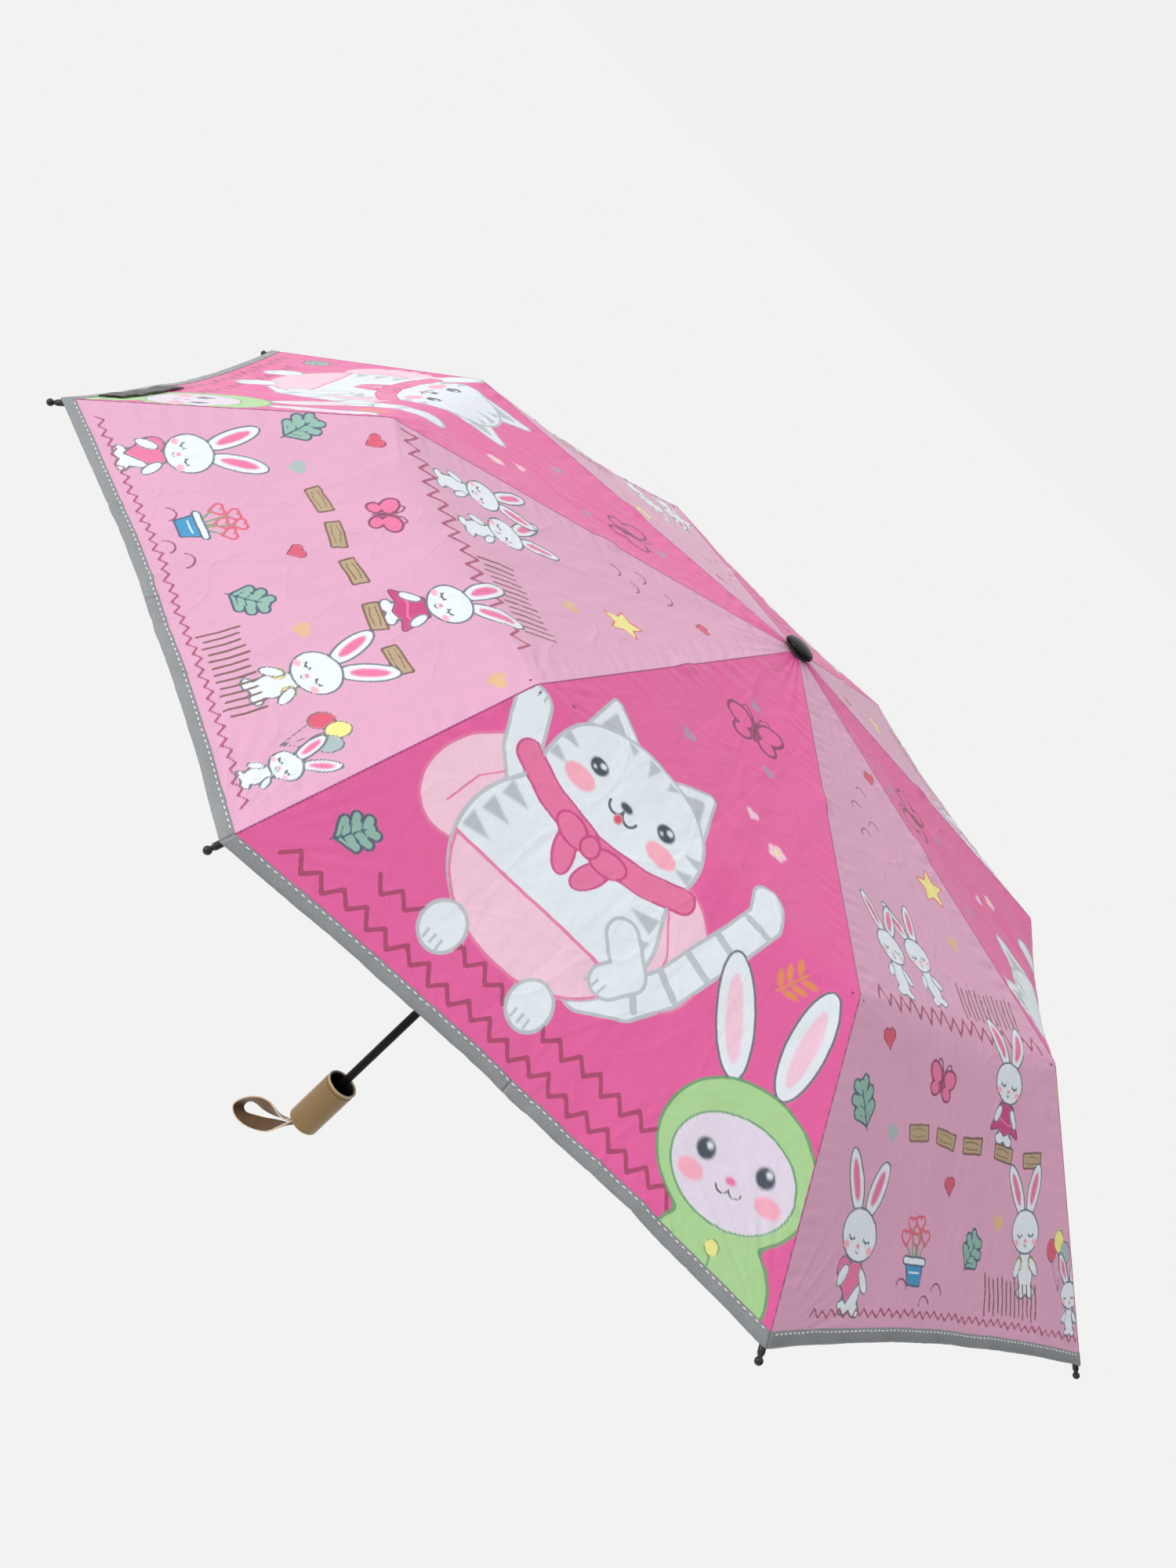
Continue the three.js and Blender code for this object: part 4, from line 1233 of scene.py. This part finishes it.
def rib_tip(canopy, rib):
    """The moulded tip: a collar on the rod's end, a neck and a ball that the hem is sewn to."""
    ball, end = settings().fittings.tip_radius / MM, canopy.outer
    profile = [(1.02, end - 7), (1.75, end - 6.4), (2.05, end - 5), (2.05, end + 0.4), (1.55, end + 1.3),
               (1.25, end + 2.0), (1.35, end + 2.6)]
    centre = end + 7 - ball - 0.1
    profile += [(ball * sin(a), centre - ball * cos(a)) for a in np.linspace(0.62, pi, 12)[:-1]]
    profile += [(0, centre + ball)]
    bm = spun([(0, end - 7)] + profile, 32)
    bmesh.ops.rotate(bm, verts=bm.verts, cent=(0, 0, 0), matrix=Matrix.Rotation(pi / 2, 3, "Y"))
    bmesh.ops.transform(bm, matrix=along_rib(rib, KNEE_JOINT.x, KNEE_JOINT.z, canopy.s2), verts=bm.verts)
    mesh = smooth_mesh(f"rib_tip_{rib}", bm, 60)
    return add_piece(f"rib_tip_{rib}", mesh, f"outer_rib_{rib}", "black_plastic", "tip_plastic")


def rivets(name, rib, joint, half, radius, body):
    """Two domed rivet heads, one on each side of a joint."""
    bm = bmesh.new()
    for side in (-1, 1):
        shape = along_rib(rib, joint.x, joint.z) @ Matrix.Translation((0, side * half * MM, 0))
        shape = shape @ Matrix.Diagonal((radius, 0.55 * radius, radius, 1))
        bmesh.ops.create_uvsphere(bm, u_segments=12, v_segments=8, radius=MM, matrix=shape)
    mesh = smooth_mesh(name, bm, 180, recalculate=False)
    return add_piece(name, mesh, body, "steel", "steel")


def tie_band(canopy):
    """The flat band that wraps the closed umbrella, sewn at the hem of panel 8, next to rib 1."""
    down = canopy.hem + np.linspace(-24.5, -9.0, 9)[:, None]
    across = np.linspace(0.37, 0.86, 61)[None, :]
    lift = np.array([0.7, 1.0, 1.05, 1.05, 1.05, 1.05, 1.05, 1.0, 0.7])[:, None]
    lift = lift + 0.7 * np.sin(np.linspace(0, 3 * pi, 61))[None, :] ** 2
    front = canopy.points(8, across, down, lift + 0.5)
    back = canopy.points(8, across, down, lift - 0.35)
    piece = add_piece("tie_band", cloth_shell("tie_band", front, back, 1), "outer_rib_1", "black_cloth",
                      "black_cloth", "black_cloth", replaced=["closure_band"])
    flatten_with_ribs(piece, 1, "outer")
    return piece


# ---- fittings on the shaft ----
def top_cap():
    """The domed cap with its toothed edge."""
    s = settings().fittings
    radius, height = s.cap_radius / MM, s.cap_height / MM
    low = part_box("top_cap")[0].z / MM - 1.6
    top = low + height
    dome = [(radius * cos(a), low + 2.6 + (height - 2.6) * sin(a) ** 1.15)
            for a in np.linspace(0.08, pi / 2, 18)]
    dome[-1] = (0, top)
    profile = [(5.6, low + 1.4), (radius - 2.2, low + 1.2), (radius - 0.9, low + 0.1), (radius - 0.25, low),
               (radius, low + 0.7), (radius, low + 2.4)] + dome
    teeth = s.cap_teeth
    bm = spun(profile, teeth * 6)
    for vert in bm.verts:
        r, z = hypot(vert.co.x, vert.co.y) / MM, vert.co.z / MM
        if r > radius - 1.2 and z < low + 1.0:
            phase = (atan2(vert.co.y, vert.co.x) * teeth / (2 * pi)) % 1
            if 0.3 < phase < 0.7:
                vert.co.x *= 1 - 0.75 / r
                vert.co.y *= 1 - 0.75 / r
                vert.co.z += 1.1 * MM
    hole = [e for e in bm.edges if len(e.link_faces) == 1]
    bmesh.ops.holes_fill(bm, edges=hole)
    mesh = smooth_mesh("top_cap_dome", bm, 38)
    return add_piece("top_cap_dome", mesh, "canopy_head", "cap_plastic", "cap_plastic", replaced=["top_cap"])


def cloth_washer():
    """The washer that holds the panels' points down on the crown."""
    high = PIVOT.z + settings().canopy.lift / MM
    bm = spun([(5.9, high + 0.1), (5.9, high + 0.7), (9.6, high + 0.7), (10.2, high + 0.4),
               (9.6, high + 0.1)], 48, closed=True)
    return add_piece("cloth_washer", smooth_mesh("cloth_washer", bm, 40), "canopy_head", "black_cloth",
                     "black_cloth")


def shaft_tube(name, body, wall):
    """A drawn tube with rolled ends in place of the CAD tube."""
    node = "shaft_" + name
    low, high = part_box(node)
    outer = (high.x - low.x) / 2 / MM
    bm = spun([(outer - wall, low.z / MM), (outer, low.z / MM), (outer, high.z / MM),
               (outer - wall, high.z / MM)], 64, closed=True)
    bevel_corners(bm, 0.18, 2)
    return add_piece(name, smooth_mesh(name, bm, 50), body, "black_tube", "black_tube", replaced=[node])


def handle_shell():
    """The handle: rounded foot, fine groove, thin rim and a deep cup, with the strap's slot in its foot."""
    s = settings().handle
    radius, tall, cup, depth = s.radius / MM, s.height / MM, s.cup / MM, s.depth / MM
    floor = tall - depth
    profile = [(0, 0), (radius, 0), (radius, tall - 4.2), (radius - 0.45, tall - 3.8),
               (radius - 0.45, tall - 2.6), (radius, tall - 2.2), (radius, tall), (cup, tall), (cup, floor),
               (3.9, floor), (3.9, floor - 9), (0, floor - 9)]
    bm = spun(profile, 96)
    foot = [e for e in bm.edges
            if all(abs(v.co.z) < 1e-6 and abs(v.co.xy.length - s.radius) < 1e-5 for v in e.verts)]
    round_edges(bm, foot, 1.7, 6)
    rim = [e for e in bm.edges if all(v.co.z > (tall - 0.01) * MM for v in e.verts)
           and abs(e.verts[0].co.xy.length - e.verts[1].co.xy.length) < 1e-6]
    round_edges(bm, rim, 0.45, 4)
    shell = bpy.data.objects.new("handle_blank", smooth_mesh("handle_blank", bm, 40))
    cutter_bm = bmesh.new()
    bmesh.ops.create_cube(cutter_bm, size=MM, matrix=Matrix.Rotation(STRAP_TURN, 4, "Z")
                          @ Matrix.Translation((6 * MM, 0, 2 * MM)) @ Matrix.Diagonal((4.6, 12.8, 12, 1)))
    bevel_corners(cutter_bm, 0.9, 3)
    cutter = bpy.data.objects.new("slot_cutter", smooth_mesh("slot_cutter", cutter_bm, 40))
    for made in (shell, cutter):
        bpy.context.scene.collection.objects.link(made)
    cut = shell.modifiers.new("strap_slot", "BOOLEAN")
    cut.object, cut.operation, cut.solver = cutter, "DIFFERENCE", "EXACT"
    ready = shell.evaluated_get(bpy.context.evaluated_depsgraph_get())
    mesh = bpy.data.meshes.new_from_object(ready)
    mesh.name = "handle_shell"
    for made in (shell, cutter):
        bpy.data.objects.remove(made)
    return add_piece("handle_shell", mesh, "handle", "tan_handle", "tan_handle", replaced=["handle_grip"])


def cup_liner():
    """The black liner pressed into the handle's cup, with a boss round the tube."""
    s = settings().handle
    tall, floor = s.height / MM, (s.height - s.depth) / MM
    outer = s.cup / MM - 0.25
    profile = [(3.8, floor + 0.3), (outer, floor + 0.3), (outer, tall - 0.9), (outer - 0.75, tall - 0.9),
               (outer - 0.75, floor + 1.4), (5.4, floor + 1.4), (5.0, floor + 5.4), (3.8, floor + 5.4)]
    bm = spun(profile, 96, closed=True)
    bevel_corners(bm, 0.25, 2)
    return add_piece("cup_liner", smooth_mesh("cup_liner", bm, 45), "handle", "black_plastic",
                     "black_plastic", replaced=["handle_cup_liner"])


# ---- the wrist strap ----
# the way the loop hangs, round the shaft
STRAP_TURN = radians(-62.2)
# where each run of the loop leans over, as shares of its length, and by how many degrees at its middle
STRAP_LEANS = ((0.1, 0.46, 62), (0.46, 0.92, 76))
# the strap's middle line, as (outwards, height) in mm
STRAP_ROUTE = [
    (7.1, 7), (7.1, 0), (7.2, -5), (9.5, -10.5), (15, -15), (23, -20), (33.5, -26), (44, -33.5),
    (52.5, -42), (56.5, -50.5), (55, -56), (48.5, -56.5), (40, -52), (30.5, -44), (21.5, -34.5),
    (13.5, -23.5), (7.5, -13.5), (4.9, -5), (4.9, 0), (4.9, 7),
]


def strap_line(count):
    """Points on the strap's middle line, as (outwards, height), evenly spaced, in mm."""
    route = np.array(STRAP_ROUTE, float)
    ends = np.concatenate([[2 * route[0] - route[1]], route, [2 * route[-1] - route[-2]]])
    t = np.linspace(0, 1, 13)[:-1, None]
    dense = []
    for a, b, c, d in zip(ends, ends[1:], ends[2:], ends[3:]):
        dense.append(0.5 * (2 * b + (c - a) * t + (2 * a - 5 * b + 4 * c - d) * t ** 2
                            + (3 * b - a - 3 * c + d) * t ** 3))
    dense = np.concatenate(dense + [route[-1:]])
    run = np.concatenate([[0], np.cumsum(np.hypot(*np.diff(dense, axis=0).T))])
    even = np.linspace(0, run[-1], count)
    return np.stack([np.interp(even, run, dense[:, k]) for k in (0, 1)], -1), float(run[-1])


def wrist_strap():
    """The suede loop: one flat band with sealed edges, sewn near both edges."""
    s = settings().handle
    line, long = strap_line(161)
    way = np.gradient(line, axis=0)
    way /= np.hypot(*way.T)[:, None]
    half, thick = s.strap_width / MM / 2, s.strap_thickness / MM / 2
    section = [(-half + 0.45, -thick), (half - 0.45, -thick), (half - 0.12, -thick + 0.25), (half, 0),
               (half - 0.12, thick - 0.25), (half - 0.45, thick), (-half + 0.45, thick),
               (-half + 0.12, thick - 0.25), (-half, 0), (-half + 0.12, -thick + 0.25)]
    out, side = Vector((cos(STRAP_TURN), sin(STRAP_TURN), 0)), Vector((-sin(STRAP_TURN), cos(STRAP_TURN), 0))

    def upright(outwards, height):
        """A vector in the loop's own upright plane."""
        return out * outwards + Vector((0, 0, height))

    def place(k, across, proud):
        """A point beside the middle line; both runs of the loop lean over a little, as a limp band hangs."""
        share = k / (len(line) - 1)
        twist = 0.0
        for start, end, lean in STRAP_LEANS:
            if start < share < end:
                twist = radians(lean) * sin(pi * (share - start) / (end - start)) ** 2
        normal = upright(-way[k][1], way[k][0])
        return (upright(*line[k]) + (side * cos(twist) + normal * sin(twist)) * across
                + (normal * cos(twist) - side * sin(twist)) * proud)

    bm = bmesh.new()
    rings = [[bm.verts.new(place(k, a, n) * MM) for a, n in section] for k in range(len(line))]
    count = len(section)
    for low, high in zip(rings, rings[1:]):
        for i in range(count):
            face = bm.faces.new((low[i], low[(i + 1) % count], high[(i + 1) % count], high[i]))
            face.material_index = 0 if i in (0, 5) else 1
    for ring in (rings[0], rings[-1]):
        bm.faces.new(ring)
    strap = add_piece("wrist_strap_band", smooth_mesh("wrist_strap_band", bm, 35), "handle", "strap_suede",
                      "strap_suede", "strap_edge", replaced=["wrist_strap"])
    sewn = [k for k in range(len(line)) if line[k][1] < -3 and k % 2 == 0]
    places, ways, ups = [], [], []
    for k in sewn:
        for across in (-half + 1.5, half - 1.5):
            for proud in (-thick - 0.05, thick + 0.05):
                places.append(place(k, across, proud))
                ways.append(upright(*way[k]))
                ups.append(upright(-way[k][1], way[k][0]))
    stitches = add_piece("strap_stitches", stitch_row("strap_stitches", places, ways, ups, 1.9, 0.5, 0.35),
                         "handle", "strap_suede", "strap_thread")
    exit_point = place(0, 0, 0) * MM
    path = [place(k, 0, 0) * MM for k in range(len(line))]
    return strap


# ---- operators: one for each piece or group of like pieces, and one for the stage ----
class UMBRELLA_OT_stage(Operator):
    """Set up the camera, the floor and the soft lights"""
    bl_idname = "umbrella.stage"
    bl_label = "Camera, Floor and Lights"

    def execute(self, context):
        s, scene = settings().stage, context.scene
        place, aim = Vector(s.place), Vector(s.aim)
        data = bpy.data.cameras.new("camera")
        data.sensor_width, data.lens = 36.0, s.lens
        camera = bpy.data.objects.new("camera", data)
        look = (aim - place).to_track_quat("-Z", "Y").to_matrix().to_4x4()
        camera.matrix_world = Matrix.Translation(place) @ look @ Matrix.Rotation(s.roll, 4, "Z")
        scene.collection.objects.link(camera)
        scene.camera = camera
        scene.view_settings.view_transform = "Standard"
        self.make_floor(scene, s)
        self.make_lights(scene, s, camera)
        self.make_surroundings(scene, s)
        return {"FINISHED"}

    def make_floor(self, scene, s):
        bm = bmesh.new()
        bmesh.ops.create_grid(bm, x_segments=8, y_segments=8, size=60,
                              matrix=Matrix.Translation((0, 0, s.floor)))
        floor = bpy.data.objects.new("floor", smooth_mesh("floor", bm))
        f = Finish("floor_paint", Roughness=0.9, Specular_IOR_Level=0.0, Emission_Strength=1.0)
        mottle = f.noise(f.places(), 3, 2)
        lit, glowing = (tuple(share * c for c in s.backdrop[:3]) + (1.0,) for share in (0.25, 0.782))
        f.shade("Base Color", f.vary(lit, mottle, 0.995, 1.005))
        f.shade("Emission Color", glowing)
        floor.data.materials.append(f.material)
        scene.collection.objects.link(floor)

    def make_lights(self, scene, s, camera):
        middle = Vector((0.06, 0.05, 0.42))
        axes = camera.matrix_world.to_3x3()
        for name, power, size, (right, up, back) in (("key", s.key, 1.3, (-1.25, 1.1, 1.35)),
                                                     ("fill", s.fill, 1.8, (1.4, 0.5, 1.5))):
            light = bpy.data.lights.new(name, "AREA")
            light.energy, light.size, light.shape = power, size, "DISK"
            lamp = bpy.data.objects.new(name, light)
            place = middle + axes @ Vector((right, up, back))
            turn = (middle - place).to_track_quat("-Z", "Y").to_matrix().to_4x4()
            lamp.matrix_world = Matrix.Translation(place) @ turn
            scene.collection.objects.link(lamp)

    def make_surroundings(self, scene, s):
        world = bpy.data.worlds.new("surroundings")
        world.use_nodes = True
        tree = world.node_tree
        seen, lit = tree.nodes["Background"], tree.nodes.new("ShaderNodeBackground")
        seen.inputs["Color"].default_value = s.backdrop
        lit.inputs["Color"].default_value = (1.0, 0.985, 0.97, 1.0)
        where, turned, fall = (tree.nodes.new("ShaderNode" + kind)
                               for kind in ("TexCoord", "VectorMath", "MapRange"))
        turned.operation = "DOT_PRODUCT"
        turned.inputs[1].default_value = (0.7, -0.38, 0.6)
        tree.links.new(where.outputs["Generated"], turned.inputs[0])
        tree.links.new(turned.outputs["Value"], fall.inputs["Value"])
        fall.inputs["From Min"].default_value = -0.8
        fall.inputs["To Min"].default_value = 0.06
        fall.inputs["To Max"].default_value = s.surroundings
        tree.links.new(fall.outputs["Result"], lit.inputs["Strength"])
        rays, mix = tree.nodes.new("ShaderNodeLightPath"), tree.nodes.new("ShaderNodeMixShader")
        tree.links.new(rays.outputs["Is Camera Ray"], mix.inputs[0])
        tree.links.new(lit.outputs[0], mix.inputs[1])
        tree.links.new(seen.outputs[0], mix.inputs[2])
        tree.links.new(mix.outputs[0], tree.nodes["World Output"].inputs["Surface"])
        scene.world = world


class UMBRELLA_OT_panels(Operator):
    """Make the eight printed panels, their seams, reflective binding and stitches"""
    bl_idname = "umbrella.panels"
    bl_label = "Printed Panels"

    def execute(self, context):
        canopy = Canopy()
        for number in range(1, RIBS + 1):
            for side in (-1, 1):
                trim = [binding_piece(canopy, number, side), hem_stitches(canopy, number, side)]
                for segment, rib_name in RIB_OF.items():
                    piece, flat, area = half_panel(canopy, number, side, segment)
        for rib in range(1, RIBS + 1):
            for segment in SEGMENTS:
                rib_seam(canopy, rib, segment)
        return {"FINISHED"}


class UMBRELLA_OT_tie_band(Operator):
    """Make the black tie band at one panel's hem"""
    bl_idname = "umbrella.tie_band"
    bl_label = "Tie Band"

    def execute(self, context):
        canopy = Canopy()
        band = tie_band(canopy)
        wide, tall = 0.49 * canopy.radius(canopy.hem) * sin(STEP / 2) * MM, 0.0155
        return {"FINISHED"}


class UMBRELLA_OT_ribs(Operator):
    """Finish the ribs and stretchers, and add knee patches, rivets and rib tips"""
    bl_idname = "umbrella.ribs"
    bl_label = "Ribs and Tips"

    def execute(self, context):
        canopy = Canopy()
        stretcher = Vector(JOINTS["stretcher_fold_1"]["pos_m"]) / MM
        for rib in range(1, RIBS + 1):
            for node, name in ((f"top_rib_{rib}", "steel"), (f"middle_rib_{rib}", "aluminium"),
                               (f"outer_rib_{rib}", "black_fibreglass"), (f"stretcher_{rib}", "steel")):
                finish_node(node, name)
            knee_patch(rib)
            rib_tip(canopy, rib)
            for name, joint, half, radius, body in (("first_joint", FIRST_JOINT, 2.0, 0.8, "top_rib"),
                                                    ("knee", KNEE_JOINT, 1.8, 0.9, "middle_rib"),
                                                    ("stretcher", stretcher, 2.0, 0.9, "top_rib")):
                rivets(f"{name}_rivets_{rib}", rib, joint, half, radius, f"{body}_{rib}")
        return {"FINISHED"}


class UMBRELLA_OT_crown(Operator):
    """Make the glossy toothed cap and the cloth washer, and finish the crown and its ring wire"""
    bl_idname = "umbrella.crown"
    bl_label = "Cap and Crown"

    def execute(self, context):
        top_cap()
        cloth_washer()
        finish_node("crown", "grey_plastic")
        finish_node("crown_ring_wire", "steel")
        return {"FINISHED"}


class UMBRELLA_OT_shaft(Operator):
    """Make the three shaft tubes and finish the ferrule"""
    bl_idname = "umbrella.shaft"
    bl_label = "Shaft"

    def execute(self, context):
        for name, body, wall in (("inner_tube", "handle", 0.6), ("middle_tube", "middle_tube", 0.5),
                                 ("outer_tube", "canopy_head", 0.5)):
            shaft_tube(name, body, wall)
        finish_node("shaft_outer_ferrule", "black_plastic")
        return {"FINISHED"}


class UMBRELLA_OT_runner(Operator):
    """Finish the runner and its push button"""
    bl_idname = "umbrella.runner"
    bl_label = "Runner"

    def execute(self, context):
        finish_node("runner", "black_plastic")
        finish_node("runner_button", "grey_plastic")
        return {"FINISHED"}


class UMBRELLA_OT_handle(Operator):
    """Make the tan handle and its black cup liner"""
    bl_idname = "umbrella.handle"
    bl_label = "Handle"

    def execute(self, context):
        handle_shell()
        cup_liner()
        return {"FINISHED"}


class UMBRELLA_OT_strap(Operator):
    """Make the suede wrist strap with its sealed edges and stitches"""
    bl_idname = "umbrella.strap"
    bl_label = "Wrist Strap"

    def execute(self, context):
        wrist_strap()
        return {"FINISHED"}


class UMBRELLA_PT_pieces(Panel):
    """The umbrella's pieces, in the order they are made"""
    bl_label = "Umbrella"
    bl_idname = "UMBRELLA_PT_pieces"
    bl_space_type = "VIEW_3D"
    bl_region_type = "UI"
    bl_category = "Umbrella"

    def draw(self, context):
        for operator in OPERATORS:
            self.layout.operator(operator.bl_idname)
        for group in ("canopy", "fittings", "handle", "stage"):
            box = self.layout.box()
            values = getattr(context.scene.umbrella, group)
            box.label(text=group.title())
            for name in values.bl_rna.properties.keys():
                if name not in ("rna_type", "name"):
                    box.prop(values, name)


OPERATORS = (UMBRELLA_OT_stage, UMBRELLA_OT_strap, UMBRELLA_OT_handle, UMBRELLA_OT_shaft, UMBRELLA_OT_runner,
             UMBRELLA_OT_crown, UMBRELLA_OT_ribs, UMBRELLA_OT_panels, UMBRELLA_OT_tie_band)
CLASSES = (CanopySettings, FittingSettings, HandleSettings, StageSettings, UmbrellaSettings) + OPERATORS + (
    UMBRELLA_PT_pieces,)


def register():
    for each in CLASSES:
        bpy.utils.register_class(each)
    bpy.types.Scene.umbrella = PointerProperty(type=UmbrellaSettings)


def unregister():
    del bpy.types.Scene.umbrella
    for each in reversed(CLASSES):
        bpy.utils.unregister_class(each)


def main():
    register()
    for operator in OPERATORS:
        group, name = operator.bl_idname.split(".")
        getattr(getattr(bpy.ops, group), name)()


if __name__ == "__main__":
    main()
